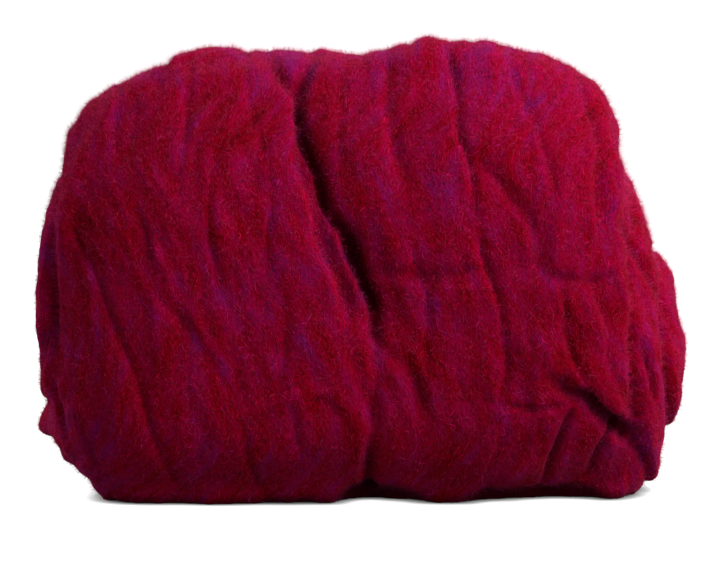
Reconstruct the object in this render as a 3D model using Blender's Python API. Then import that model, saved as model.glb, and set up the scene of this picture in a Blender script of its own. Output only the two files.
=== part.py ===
"""A bundle of felting fibre: one thick batt of carded wool, rolled about the X axis and set down on its side.

Metres, +Z up. The front of the bundle faces -Y, and its length lies along X. The origin is under the middle of
the bundle, on the surface that it rests on. The tables below are in millimetres.

The body is lofted through SECTIONS. Every groove between two ribs, and every lap of one layer over another, is
a row of FOLDS, and the roll's own turns show as a spiral groove on each end.
"""

import math
from collections import namedtuple

import bmesh
import bpy
import numpy as np
from mathutils import Vector, noise

MM = 0.001

# Driving sizes of the lofted body, in millimetres
END_ROUNDNESS = 2.2       # exponent of the sections near both ends: 2 is an ellipse
TOP_ROUNDNESS = 2.5       # the same for the upper half of the fullest section
FOOT_ROUNDNESS = 3.5      # and for its lower half, which the wool's own weight squares off
SAG = 0.05                # share by which the bundle is deeper below its middle than above
GRID_ALONG = 190          # points of the loft from end to end
GRID_ROUND = 260          # points of the loft round each section
ROUTE_STEP = 0.8          # distance between the points of a groove's route
SKIN_VOXEL = 1.4          # size of the remeshed skin's faces
SOLID_FACES = 11600       # triangles that the finished solid keeps
SKIN_SMOOTHING = 3        # passes that round the lips of the grooves
SOLID_SMOOTHING = 2       # gentler passes over the finished triangles

# Form of the grooves
GROOVE_DEPTH = 1.25       # times the depth that a fold's row gives
GROOVE_WIDTH = 1.1        # times the widths that it gives
SHALLOW, DEEP = 3.0, 10.0 # depths at which a groove has the shallow and the deep profile
CREASE_POWER = 2.2        # how sharply a shallow groove is creased: 1 is a plain V
CLEFT_POWER = 1.2         # the same for a deep one
LIP_SWELL = 0.3           # how far a leaning lip swells, as a share of its lap

# Softness of the wool
LUMP_SIZE = 34.0
LUMP_HEIGHT = 2.0
PUCKER_SIZE = 13.0
PUCKER_HEIGHT = 0.7
PUCKER_STRETCH = 2.6      # puckers are this much longer round the roll than along it
LUMP_SEED = Vector((3.7, 1.9, 8.2))
WOOL_COLOUR = (0.2, 0.002, 0.028, 1.0)
WOOL_ROUGHNESS = 0.95

# The roll's turns, which show on both ends
TURN_GROOVE_DEPTH = 5.0
TURN_GROOVE_WIDTH = 8.0
TURN_WOBBLE = 0.07        # how unevenly the turns are wound, as a share of the end's radius
TURN_FADE = 7.0           # the groove fades out over one part in this many at either end
TURN_STEPS = 96           # points of the groove's route in each turn

Section = namedtuple("Section", "x top bottom front back")
SECTIONS = (
    Section(-98.9, 56.0, 56.0, 0.0, 0.0),
    Section(-98.6, 68.0, 42.0, 13.0, 14.0),
    Section(-97.9, 76.5, 31.0, 25.0, 26.0),
    Section(-96.6, 82.0, 22.0, 33.0, 34.0),
    Section(-95.0, 86.0, 15.0, 38.0, 39.0),
    Section(-92.6, 97.5, 11.5, 42.0, 43.0),
    Section(-89.4, 106.5, 8.5, 44.0, 45.0),
    Section(-85.6, 114.5, 4.5, 45.5, 46.0),
    Section(-79.8, 120.0, -1.5, 47.0, 47.5),
    Section(-73.8, 123.6, -5.0, 48.5, 48.5),
    Section(-67.8, 126.6, -6.0, 49.5, 49.5),
    Section(-55.8, 130.8, -6.0, 50.5, 50.5),
    Section(-46.8, 133.0, -6.0, 50.5, 50.5),
    Section(-31.8, 132.6, -6.0, 50.5, 50.5),
    Section(-13.8, 133.6, -6.0, 49.5, 50.5),
    Section(1.0, 133.8, -6.0, 49.0, 50.5),
    Section(11.0, 135.6, -6.0, 49.5, 50.5),
    Section(23.0, 136.2, -6.0, 50.5, 50.5),
    Section(40.2, 134.6, -6.0, 51.0, 50.5),
    Section(52.2, 132.0, -6.0, 51.0, 50.0),
    Section(64.2, 125.4, -6.0, 50.5, 49.5),
    Section(70.2, 120.8, -6.0, 50.0, 49.0),
    Section(73.4, 115.5, -6.0, 49.0, 48.0),
    Section(76.2, 104.5, -6.0, 47.5, 46.5),
    Section(80.6, 92.5, -5.0, 45.5, 44.5),
    Section(84.4, 80.5, -2.0, 42.0, 42.0),
    Section(88.6, 74.5, 4.0, 37.5, 38.0),
    Section(92.6, 64.5, 15.0, 30.0, 31.0),
    Section(95.6, 55.0, 26.0, 20.0, 21.0),
    Section(97.6, 47.0, 36.5, 8.5, 9.0),
    Section(98.0, 41.5, 41.5, 0.0, 0.0),
)

# Each groove is cut lip_width wide on its lip's side and far_width wide on the other, and the lip leans lap
# over it. The route runs along the back and then along the front, and its points are x, z and depth. Where it
# has both, it passes over the top. The lip lies to the right of its heading, seen from outside. The back isn't
# in the photograph: its ribs go on from those that cross the top.
Fold = namedtuple("Fold", "name lip_width far_width lap back front")

FOLDS = (
    Fold("main_cleft", 5.5, 8.5, 4.5,
        ((-8.0, -3.0, 5.0), (-7.0, 30.0, 5.0), (-10.0, 54.0, 7.0), (-11.0, 76.0, 9.0), (-8.0, 98.0, 8.0),
         (-9.0, 120.0, 3.5)),
        ((-15.6, 126.0, 4.0), (-18.6, 115.5, 11.0), (-15.6, 102.0, 13.0), (-10.8, 90.0, 14.0),
         (-6.0, 81.5, 14.0), (-1.8, 74.0, 14.0), (1.2, 66.5, 13.0), (3.0, 58.5, 11.0), (5.4, 50.5, 8.0),
         (9.6, 44.5, 6.0), (14.0, 40.5, 5.0), (17.4, 36.0, 2.0))),
    Fold("cleft_foot", 5.5, 6.5, 1.0,
        (),
        ((2.4, 50.0, 1.0), (2.7, 40.5, 3.0), (3.0, 33.0, 4.0), (3.4, 26.0, 3.0), (1.8, 17.0, 4.0),
         (1.8, 6.0, 5.0), (1.8, -4.0, 5.0))),
    Fold("cleft_branch", 6.0, 6.0, 0.0,
        (),
        ((-25.8, 133.0, 0.5), (-23.4, 125.4, 4.5), (-19.2, 117.0, 6.0))),
    Fold("cleft_lip_edge", 3.5, 4.5, 0.0,
        (),
        ((-18.0, 110.0, 1.0), (-15.6, 94.0, 3.5), (-12.0, 80.0, 3.5), (-8.4, 66.0, 3.5),
         (-4.2, 54.0, 2.5), (-1.8, 44.0, 0.0))),
    Fold("crest_left", 8.0, 5.0, 1.5,
        ((-43.0, -3.0, 3.5), (-41.0, 24.0, 4.0), (-40.0, 49.0, 4.0), (-44.0, 70.0, 5.0),
         (-45.0, 98.0, 5.0), (-41.0, 122.0, 2.5)),
        ((-40.0, 131.0, 2.0), (-48.6, 130.0, 4.0), (-59.1, 124.5, 3.5), (-67.5, 117.0, 1.5),
         (-72.0, 108.0, 0.0))),
    Fold("shoulder_left", 6.0, 6.0, 0.5,
        ((-58.0, 48.0, 0.5), (-60.0, 66.0, 3.0), (-59.0, 92.0, 2.5), (-62.0, 118.0, 2.0)),
        ((-66.3, 124.0, 2.5), (-67.5, 117.0, 4.0), (-69.0, 102.0, 3.0), (-69.5, 88.0, 1.0))),
    Fold("rim_left", 5.0, 6.0, 1.0,
        ((-71.0, -3.0, 3.0), (-73.0, 24.0, 3.0), (-76.0, 55.0, 3.5), (-78.0, 84.0, 3.0),
         (-76.0, 112.0, 2.0)),
        ((-75.5, 121.0, 2.0), (-80.4, 115.5, 3.0), (-86.0, 106.0, 3.0), (-88.6, 96.0, 2.0),
         (-89.5, 84.0, 0.0))),
    Fold("rib_left_a", 7.0, 7.0, 0.5,
        (),
        ((-49.6, 128.0, 0.5), (-50.8, 108.0, 4.0), (-51.6, 96.0, 3.5), (-49.5, 85.5, 2.5),
         (-45.0, 72.0, 2.5), (-42.8, 63.0, 0.5))),
    Fold("rib_left_b", 8.0, 8.0, 0.5,
        ((-24.0, 46.0, 0.0), (-22.0, 56.0, 2.5), (-25.0, 80.0, 3.5), (-27.0, 108.0, 3.0),
         (-24.0, 133.0, 0.5)),
        ((-28.5, 128.0, 0.5), (-31.0, 104.0, 3.0), (-32.0, 88.0, 3.0), (-29.0, 72.0, 3.5),
         (-25.5, 56.0, 3.5), (-23.2, 42.0, 3.5), (-22.4, 33.0, 1.0))),
    Fold("rib_left_long", 6.5, 7.5, 1.5,
        (),
        ((-82.5, 83.0, 0.5), (-76.2, 64.5, 3.5), (-72.3, 52.5, 4.0), (-67.8, 43.0, 4.0),
         (-64.4, 32.4, 4.0), (-61.5, 21.0, 3.5), (-57.0, 10.5, 3.0), (-53.5, -3.0, 2.0))),
    Fold("rib_left_c", 6.0, 8.0, 1.5,
        (),
        ((-64.5, 88.0, 0.5), (-60.4, 70.0, 2.0), (-52.6, 57.0, 3.0), (-45.6, 46.5, 3.5),
         (-41.0, 37.5, 4.0), (-38.5, 32.0, 2.0))),
    Fold("end_hollow_left", 7.0, 7.0, 0.0,
        (),
        ((-87.0, 84.0, 1.5), (-88.0, 64.0, 4.5), (-88.6, 48.0, 4.5), (-87.6, 36.0, 3.0),
         (-88.6, 26.0, 5.0), (-87.0, 17.0, 3.0))),
    Fold("foot_left", 5.0, 6.0, 0.5,
        (),
        ((-82.5, 28.0, 0.5), (-79.8, 14.7, 3.0), (-77.0, 2.0, 2.5))),
    Fold("step_low_left", 4.0, 8.0, 1.0,
        (),
        ((1.0, 34.0, 0.5), (-5.1, 36.0, 1.2), (-13.2, 36.4, 1.4), (-21.6, 33.0, 1.4), (-30.0, 31.0, 1.6),
         (-37.0, 32.0, 1.6), (-44.0, 30.0, 0.0))),
    Fold("tuck_a", 5.5, 5.5, 0.5,
        (),
        ((-35.7, 27.5, 0.5), (-32.2, 13.5, 4.0), (-30.3, -3.0, 2.5))),
    Fold("tuck_b", 5.0, 5.5, 0.5,
        (),
        ((-20.4, 31.6, 1.0), (-18.4, 20.4, 3.0), (-18.6, -3.0, 2.0))),
    Fold("tuck_c", 5.0, 5.0, 0.5,
        (),
        ((-7.5, 31.5, 0.5), (-5.6, 19.0, 2.5), (-6.6, 7.0, 3.0), (-8.4, -3.0, 2.5))),
    Fold("rib_right_a", 6.5, 7.0, 0.5,
        ((-3.0, 112.0, 0.5),),
        ((-6.0, 123.0, 3.0), (-7.2, 111.0, 3.5), (-5.1, 99.0, 3.5), (-1.5, 88.0, 2.0), (3.0, 78.0, 0.0))),
    Fold("rib_right_b", 6.5, 7.5, 1.0,
        ((8.0, 46.0, 1.0), (6.0, 66.0, 3.5), (9.0, 92.0, 3.0), (8.0, 118.0, 2.5)),
        ((7.2, 128.0, 2.5), (7.8, 115.5, 3.0), (9.0, 105.0, 3.5), (11.1, 93.0, 2.5), (14.4, 78.0, 3.5),
         (17.0, 65.5, 4.5), (19.8, 55.5, 3.5), (18.0, 45.5, 3.0), (17.7, 34.5, 4.0), (19.8, 25.5, 2.5),
         (18.0, 10.0, 2.5), (17.4, -3.0, 2.5))),
    Fold("slant_upper", 5.5, 8.5, 1.5,
        ((21.0, -3.0, 3.5), (20.0, 18.0, 3.5), (22.0, 42.0, 3.5), (24.0, 62.0, 5.0), (22.0, 90.0, 5.0),
         (25.0, 118.0, 3.0)),
        ((25.4, 130.0, 2.5), (27.0, 117.0, 3.5), (28.2, 108.6, 5.5), (30.6, 100.5, 5.0),
         (35.4, 93.9, 5.0), (42.3, 87.0, 5.0), (47.4, 81.0, 5.0), (50.0, 73.5, 4.5), (52.4, 67.0, 3.5),
         (57.0, 63.0, 0.5))),
    Fold("slant_lower", 5.5, 7.5, 1.0,
        (),
        ((31.0, 100.5, 1.5), (32.6, 90.0, 3.5), (33.8, 78.0, 4.0), (35.4, 70.5, 6.0), (37.6, 63.0, 6.0),
         (40.0, 55.5, 5.0), (41.4, 45.0, 4.0), (41.1, 34.5, 4.0), (37.8, 28.0, 1.0))),
    Fold("step_middle", 5.0, 5.0, 1.0,
        (),
        ((1.0, 68.0, 2.5), (6.0, 66.8, 2.5), (14.4, 67.3, 1.8), (24.9, 68.6, 1.8), (33.6, 68.6, 1.8))),
    Fold("step_right", 5.0, 5.0, 1.0,
        (),
        ((51.0, 68.4, 2.2), (59.4, 69.0, 2.2), (68.4, 67.5, 0.5))),
    Fold("rib_right_c", 7.0, 7.0, 0.5,
        ((40.0, 46.0, 0.5), (41.0, 58.0, 3.0), (39.0, 84.0, 4.0), (42.0, 116.0, 2.0)),
        ((45.9, 122.0, 1.8), (47.4, 108.0, 3.0), (50.4, 96.0, 2.5), (52.0, 84.0, 1.0))),
    Fold("rib_right_d", 6.0, 6.5, 0.5,
        ((54.0, -3.0, 3.0), (56.0, 24.0, 4.0), (57.0, 54.0, 4.0), (55.0, 82.0, 4.5), (57.0, 114.0, 1.8)),
        ((54.9, 121.0, 1.2), (55.0, 108.0, 2.5), (58.0, 93.0, 2.5), (59.0, 80.0, 2.5), (58.2, 64.5, 3.5),
         (59.2, 54.0, 4.5), (59.8, 44.4, 5.0), (62.1, 37.5, 5.0))),
    Fold("rib_right_e", 6.0, 6.5, 0.5,
        ((70.0, 30.0, 0.5), (71.0, 50.0, 3.0), (72.0, 80.0, 3.5), (68.0, 110.0, 2.0)),
        ((63.6, 119.0, 2.2), (66.0, 109.5, 4.0), (67.8, 100.5, 3.0), (66.8, 88.5, 2.5), (67.2, 75.0, 2.5),
         (69.6, 63.0, 3.0), (71.4, 51.0, 2.5), (72.6, 38.0, 1.0))),
    Fold("rim_right", 5.0, 5.5, 1.0,
        ((71.0, 108.0, 0.5),),
        ((71.5, 122.0, 2.0), (74.3, 113.0, 3.0), (77.0, 104.0, 3.0), (80.2, 92.0, 2.5), (83.0, 82.0, 0.5))),
    Fold("side_right", 6.5, 7.5, 1.0,
        (),
        ((72.8, 92.0, 1.0), (75.0, 78.0, 4.5), (78.8, 67.5, 5.0), (83.4, 58.5, 5.0), (88.0, 49.0, 3.0),
         (91.0, 40.5, 0.5))),
    Fold("side_right_low", 5.0, 5.5, 1.0,
        (),
        ((79.8, 55.0, 1.0), (81.6, 45.0, 4.0), (82.8, 34.5, 4.5), (85.4, 26.0, 3.0), (86.0, 18.0, 0.5))),
    Fold("overhang", 3.5, 9.0, 4.5,
        (),
        ((82.5, 20.4, 1.0), (77.4, 22.8, 5.0), (73.2, 25.8, 7.0), (68.4, 29.4, 7.5), (63.6, 33.3, 6.5),
         (58.2, 35.7, 4.5), (52.8, 36.9, 1.0))),
    Fold("under_overhang", 3.5, 6.0, 1.0,
        (),
        ((64.0, 26.0, 2.0), (55.8, 28.5, 2.5), (47.4, 29.4, 2.5), (41.0, 31.0, 1.0))),
    Fold("pleat_a", 3.5, 6.5, 1.0,
        (),
        ((61.0, 26.0, 3.0), (57.2, 16.5, 5.0), (54.2, 7.5, 4.0), (53.0, -3.0, 2.0))),
    Fold("pleat_b", 3.5, 6.5, 1.0,
        (),
        ((74.6, 24.0, 4.0), (70.0, 17.0, 5.5), (67.2, 9.5, 4.5), (66.0, -3.0, 2.0))),
    Fold("foot_a", 5.0, 5.5, 0.5,
        (),
        ((40.2, 28.0, 0.5), (37.2, 17.0, 2.5), (36.2, -3.0, 2.0))),
    Fold("foot_b", 5.0, 5.5, 0.5,
        (),
        ((28.2, 30.0, 0.0), (27.4, 16.0, 2.5), (27.0, -3.0, 2.0))),
    Fold("arch_left", 4.0, 5.0, 0.0,
        (),
        ((-5.0, -1.0, 0.0), (2.0, 1.0, 4.0), (10.0, 0.5, 3.0), (16.0, -1.0, 0.0))),
    Fold("arch_right", 5.0, 6.0, 0.0,
        (),
        ((34.0, -1.0, 0.0), (42.0, 1.0, 5.0), (56.0, 2.0, 6.5), (66.0, 1.0, 5.0), (74.0, -1.0, 0.0))),
    Fold("outer_end_of_batt", 4.0, 12.0, 3.0,
        ((-88.0, 40.0, 1.5), (-70.0, 43.0, 5.0), (-48.0, 40.0, 6.0), (-22.0, 43.5, 6.0), (4.0, 41.0, 6.0),
         (30.0, 43.0, 6.0), (54.0, 40.0, 5.0), (76.0, 43.0, 4.0), (88.0, 40.0, 1.0)),
        ()),
    Fold("back_tuck_a", 5.5, 5.5, 0.5,
        ((-26.0, -3.0, 3.5), (-25.0, 20.0, 3.5), (-26.0, 38.0, 0.5)),
        ()),
    Fold("back_tuck_b", 5.5, 5.5, 0.5,
        ((37.0, -3.0, 3.5), (36.0, 18.0, 3.5), (38.0, 38.0, 0.5)),
        ()),
)

# Broad dents in the front, and swellings where the depth is below zero. Each is wide along X and high along Z,
# and fades out smoothly.
Hollow = namedtuple("Hollow", "name x z wide high depth")
HOLLOWS = (
    Hollow("below_the_overhang", 66.0, 10.0, 17.0, 15.0, 6.5),
    Hollow("beside_the_cleft", 12.0, 78.0, 14.0, 34.0, 2.0),
    Hollow("ridge_left_of_the_cleft", -17.0, 66.0, 9.0, 32.0, -2.0),
    Hollow("lower_bundle_left", -18.0, 20.0, 20.0, 14.0, -1.5),
    Hollow("lobe_above_the_overhang", 66.0, 46.0, 12.0, 16.0, -1.5),
    Hollow("corner_low_left", -74.0, 16.0, 14.0, 18.0, -1.0),
)

# The spiral on each end: how far out it starts and stops, as a share of the way from the end's middle to the
# section at rim_x, the turns it makes, and the angle that it starts at.
Spiral = namedtuple("Spiral", "name rim_x first last turns start_deg")
END_SPIRALS = (
    Spiral("left_turns", -73.8, 0.10, 0.86, 2.25, 250.0),
    Spiral("right_turns", 70.2, 0.12, 0.88, 2.3, 20.0),
)


class Body:
    """The bundle's plain form: a smooth loft through SECTIONS, before any groove is pressed into it."""

    def __init__(self):
        rows = np.array(SECTIONS, float)
        x, top, bottom = rows[:, 0], rows[:, 1], rows[:, 2]
        steps = np.hypot(np.diff(x), np.diff(top - bottom) / 2)
        self.knots = np.concatenate(([0.0], np.cumsum(steps))) / steps.sum()
        self.rows = rows
        self.fullest = (top - bottom).max() / 2

    def section(self, along):
        """x, middle height, half height, front and back depth at each share of the way from end to end."""
        x, top, bottom, front, back = smooth_curve(self.knots, self.rows, along).T
        half = np.maximum((top - bottom) / 2, 0.0)
        return x, (top + bottom) / 2, half, np.maximum(front, 0.0), np.maximum(back, 0.0)

    def point(self, along, angle):
        """Points of the surface. The angle runs from the front over the top, down the back and underneath."""
        x, middle, half, front, back = self.section(along)
        cos, sin = np.cos(angle), np.sin(angle)
        power = 2.0 / self.roundness(half, sin > 0)
        depth = np.where(cos > 0, -front, back)
        y = depth * np.abs(cos) ** power * (1 - SAG * sin)
        z = middle + half * np.sign(sin) * np.abs(sin) ** power
        return np.stack([x, y, z], axis=-1)

    def roundness(self, half, above):
        """The section's exponent, which grows from the ends towards the middle."""
        fullness = (half / self.fullest) ** 3
        return END_ROUNDNESS + fullness * (np.where(above, TOP_ROUNDNESS, FOOT_ROUNDNESS) - END_ROUNDNESS)

    def along_at(self, x):
        """The share of the way from end to end at which a section has this x."""
        share = np.linspace(0, 1, 2001)
        return np.interp(x, self.section(share)[0], share)

    def angle_at(self, along, z, at_back):
        """The angle round the section at which the front or the back has this height."""
        middle, half = self.section(along)[1:3]
        height = np.clip((z - middle) / np.maximum(half, 1e-6), -1.0, 1.0)
        power = self.roundness(half, height > 0) / 2
        angle = np.arcsin(np.clip(np.sign(height) * np.abs(height) ** power, -1.0, 1.0))
        return math.pi - angle if at_back else angle


def smooth_curve(knots, values, at):
    """Values on the smooth curve that passes through the knots."""
    slopes = np.gradient(values, knots, axis=0)
    left = np.clip(np.searchsorted(knots, at, side="right") - 1, 0, len(knots) - 2)
    span = (knots[left + 1] - knots[left])[:, None]
    f = (np.asarray(at)[:, None] - knots[left][:, None]) / span
    start, end = values[left], values[left + 1]
    rise = (2 * f**3 - 3 * f**2 + 1) * start + (-2 * f**3 + 3 * f**2) * end
    return rise + span * ((f**3 - 2 * f**2 + f) * slopes[left] + (f**3 - f**2) * slopes[left + 1])


def without_repeats(line, depths):
    """The route without the points that fall on the one before them, as where it runs past the body's foot."""
    moved = np.linalg.norm(np.diff(line, axis=0), axis=1) > 0.1
    kept = np.concatenate(([True], moved))
    return line[kept], depths[kept]


def fold_route(body, fold):
    """A fold's route over the body: along, angle and depth, close enough together to read distances from."""
    places = []
    for rows, at_back in ((fold.back, True), (fold.front, False)):
        for x, z, depth in rows:
            along = body.along_at(x)
            angle = body.angle_at(np.array([along]), z, at_back)[0]
            places.append((along, angle, depth))
    places = np.array(places)
    spots = body.point(places[:, 0], places[:, 1])
    knots = np.concatenate(([0.0], np.cumsum(np.linalg.norm(np.diff(spots, axis=0), axis=1))))
    line = smooth_curve(knots, places, np.arange(0.0, knots[-1], ROUTE_STEP))
    return line[:, 0], line[:, 1], np.maximum(line[:, 2], 0.0)


def spiral_route(body, spiral):
    """The groove between the roll's turns, from the middle of an end out over its rim."""
    share = np.linspace(0.0, 1.0, int(spiral.turns * TURN_STEPS))
    rim = body.along_at(spiral.rim_x)
    pole = 0.0 if spiral.rim_x < 0 else 1.0
    angle = math.radians(spiral.start_deg) + share * spiral.turns * math.tau
    uneven = [noise.noise(Vector((math.cos(t), math.sin(t), s)) + LUMP_SEED) for t, s in zip(angle, share)]
    out = spiral.first + (spiral.last - spiral.first) * share
    out += TURN_WOBBLE * np.array(uneven) * (1 - np.abs(2 * share - 1))
    fade = np.minimum(1.0, np.minimum(share, 1 - share) * TURN_FADE)
    return pole + (rim - pole) * out, angle, TURN_GROOVE_DEPTH * fade


def press_groove(points, normals, line, depths, fold):
    """How deep one groove pushes each point in, and how far its lip leans each point over it."""
    reach = GROOVE_WIDTH * fold.far_width
    low, high = line.min(axis=0) - reach, line.max(axis=0) + reach
    near = np.flatnonzero(((points > low) & (points < high)).all(axis=1))
    depth, lean = np.zeros(len(points)), np.zeros_like(points)
    heading = np.gradient(line, axis=0)
    heading /= np.linalg.norm(heading, axis=1)[:, None] + 1e-9
    away = np.linalg.norm(points[near, None, :] - line[None, :, :], axis=2)
    nearest = away.argmin(axis=1)
    distance = away[np.arange(len(near)), nearest]
    lip_side = np.cross(heading[nearest], normals[near])
    side = np.einsum("ij,ij->i", points[near] - line[nearest], lip_side)
    width = GROOVE_WIDTH * np.where(side > 0, fold.lip_width, fold.far_width)
    power = np.interp(depths[nearest], (SHALLOW, DEEP), (CREASE_POWER, CLEFT_POWER))
    valley = np.clip(1 - distance / width, 0.0, 1.0) ** power
    depth[near] = GROOVE_DEPTH * depths[nearest] * valley
    rise = np.clip(side / fold.lip_width, 0.0, 1.0)
    fall = np.clip(distance / fold.lip_width - 1, 0.0, None)
    lip = rise * rise * (3 - 2 * rise) * np.exp(-(fall**2)) * depths[nearest] / (depths.max() + 1e-9)
    lean[near] = lip_side * (-fold.lap * lip)[:, None]
    lean[near] += normals[near] * (LIP_SWELL * fold.lap * lip)[:, None]
    return depth, lean


def hollow_depths(points):
    """How deep HOLLOWS press each point in."""
    x, y, z = points.T
    depth = np.zeros(len(points))
    for hollow in HOLLOWS:
        away = ((x - hollow.x) / hollow.wide) ** 2 + ((z - hollow.z) / hollow.high) ** 2
        depth += np.where(y < 0, hollow.depth * np.exp(-away), 0.0)
    return depth


def wool_lumps(points):
    """How far the wool swells at each point: broad lumps, and puckers that are longer round the roll."""
    swell = np.empty(len(points))
    pucker_scale = Vector((1.0, 1.0 / PUCKER_STRETCH, 1.0 / PUCKER_STRETCH))
    for index, point in enumerate(points):
        place = Vector(point)
        broad = noise.noise(place / LUMP_SIZE + LUMP_SEED)
        fine = noise.noise(place * pucker_scale / PUCKER_SIZE + LUMP_SEED)
        swell[index] = LUMP_HEIGHT * broad + PUCKER_HEIGHT * fine
    return swell


def loft_mesh(body):
    """The plain loft as one closed mesh, with a single point at each end."""
    along = np.linspace(0.0, 1.0, GRID_ALONG)[1:-1]
    angle = np.linspace(0.0, math.tau, GRID_ROUND, endpoint=False)
    a, t = (grid.ravel() for grid in np.meshgrid(along, angle, indexing="ij"))
    rings = body.point(a, t)
    ends = body.point(np.array([0.0, 1.0]), np.array([0.0, 0.0]))
    points = np.vstack([rings, ends])
    left_pole, right_pole = len(rings), len(rings) + 1
    faces = []
    for ring in range(len(along) - 1):
        for k in range(GRID_ROUND):
            here, after = ring * GRID_ROUND + k, ring * GRID_ROUND + (k + 1) % GRID_ROUND
            faces.append((here, here + GRID_ROUND, after + GRID_ROUND, after))
    last = (len(along) - 1) * GRID_ROUND
    for k in range(GRID_ROUND):
        after = (k + 1) % GRID_ROUND
        faces.append((left_pole, k, after))
        faces.append((right_pole, last + after, last + k))
    mesh = bpy.data.meshes.new("fibre_bundle")
    mesh.from_pydata(points.tolist(), [], faces)
    mesh.update()
    return mesh


def press_folds(mesh, body):
    """Presses every groove into the loft, leans the laps over them and swells the wool between."""
    count = len(mesh.vertices)
    points, normals = np.empty(count * 3), np.empty(count * 3, np.float32)
    mesh.vertices.foreach_get("co", points)
    mesh.vertex_normals.foreach_get("vector", normals)
    points, normals = points.reshape(-1, 3), normals.reshape(-1, 3).astype(float)
    routes = [(fold, fold_route(body, fold)) for fold in FOLDS]
    for spiral in END_SPIRALS:
        fold = Fold(spiral.name, TURN_GROOVE_WIDTH, TURN_GROOVE_WIDTH, 0.0, (), ())
        routes.append((fold, spiral_route(body, spiral)))
    cubes, leans = np.zeros(count), np.zeros_like(points)
    for fold, (along, angle, depths) in routes:
        line, depths = without_repeats(body.point(along, angle), depths)
        depth, lean = press_groove(points, normals, line, depths, fold)
        cubes += depth**3
        leans += lean
    swell = wool_lumps(points) - hollow_depths(points) - np.cbrt(cubes)
    moved = points + normals * swell[:, None] + leans
    mesh.vertices.foreach_set("co", (moved * MM).ravel())
    mesh.update()


def apply_modifier(obj, kind, **settings):
    """Adds one modifier with these settings and applies it."""
    modifier = obj.modifiers.new(kind.title(), kind)
    for name, value in settings.items():
        setattr(modifier, name, value)
    bpy.context.view_layer.objects.active = obj
    bpy.ops.object.modifier_apply(modifier=modifier.name)


def flatten_foot(mesh):
    """Cuts the solid off level at the surface that it rests on, and closes the cut."""
    form = bmesh.new()
    form.from_mesh(mesh)
    everything = form.verts[:] + form.edges[:] + form.faces[:]
    cut = bmesh.ops.bisect_plane(
        form, geom=everything, dist=1e-6, plane_co=(0, 0, 0), plane_no=(0, 0, -1), clear_outer=True)
    rim = [item for item in cut["geom_cut"] if isinstance(item, bmesh.types.BMEdge)]
    for edge in rim:
        for vertex in edge.verts:
            vertex.co.z = 0.0
    bmesh.ops.triangle_fill(form, edges=rim, use_beauty=True)
    bmesh.ops.recalc_face_normals(form, faces=form.faces[:])
    form.to_mesh(mesh)
    form.free()


def centre_over_origin(mesh):
    """Moves the mesh so that the middle of its box stands over the origin."""
    xs, ys = [v.co.x for v in mesh.vertices], [v.co.y for v in mesh.vertices]
    offset = Vector(((min(xs) + max(xs)) / 2, (min(ys) + max(ys)) / 2, 0.0))
    for vertex in mesh.vertices:
        vertex.co -= offset


def wool_material():
    """Dyed carded wool: crimson, dull and soft."""
    material = bpy.data.materials.new("crimson_wool")
    material.use_nodes = True
    shader = material.node_tree.nodes["Principled BSDF"]
    shader.inputs["Base Color"].default_value = WOOL_COLOUR
    shader.inputs["Roughness"].default_value = WOOL_ROUGHNESS
    shader.inputs["Metallic"].default_value = 0.0
    return material


def build():
    for old in list(bpy.data.objects):
        bpy.data.objects.remove(old)
    body = Body()
    mesh = loft_mesh(body)
    bundle = bpy.data.objects.new("fibre_bundle", mesh)
    bpy.context.scene.collection.objects.link(bundle)
    press_folds(mesh, body)
    apply_modifier(bundle, "REMESH", mode="VOXEL", voxel_size=SKIN_VOXEL * MM)
    apply_modifier(bundle, "SMOOTH", factor=0.5, iterations=SKIN_SMOOTHING)
    triangles = sum(len(face.vertices) - 2 for face in bundle.data.polygons)
    apply_modifier(bundle, "DECIMATE", ratio=SOLID_FACES / triangles, use_collapse_triangulate=True)
    apply_modifier(bundle, "SMOOTH", factor=0.3, iterations=SOLID_SMOOTHING)
    flatten_foot(bundle.data)
    centre_over_origin(bundle.data)
    bundle.data.materials.append(wool_material())
    bundle.data.shade_smooth()


build()
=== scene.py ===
import math
from collections import namedtuple

import bpy
import numpy as np
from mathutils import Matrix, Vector, noise
from mathutils.bvhtree import BVHTree


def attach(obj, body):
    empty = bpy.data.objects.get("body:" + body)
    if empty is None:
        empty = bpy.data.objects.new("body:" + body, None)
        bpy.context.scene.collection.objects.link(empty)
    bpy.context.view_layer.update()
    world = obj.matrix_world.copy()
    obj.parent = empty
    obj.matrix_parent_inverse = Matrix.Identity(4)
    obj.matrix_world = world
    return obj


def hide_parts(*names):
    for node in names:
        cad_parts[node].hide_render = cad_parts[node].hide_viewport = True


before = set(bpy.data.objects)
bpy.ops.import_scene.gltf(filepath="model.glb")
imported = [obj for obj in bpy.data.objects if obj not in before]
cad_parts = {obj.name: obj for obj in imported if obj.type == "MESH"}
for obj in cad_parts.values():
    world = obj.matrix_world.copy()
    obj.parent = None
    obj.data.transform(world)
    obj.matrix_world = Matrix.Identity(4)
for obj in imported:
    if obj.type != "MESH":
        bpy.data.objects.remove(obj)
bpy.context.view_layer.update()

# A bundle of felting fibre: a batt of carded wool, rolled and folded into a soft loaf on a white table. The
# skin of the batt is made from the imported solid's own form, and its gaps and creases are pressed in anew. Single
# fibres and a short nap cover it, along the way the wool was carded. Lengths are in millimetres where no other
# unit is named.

MM = 0.001
MAP_NAME = "OFBake"        # the colour map of every piece
WHITE = (1.0, 1.0, 1.0, 1.0)

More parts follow.
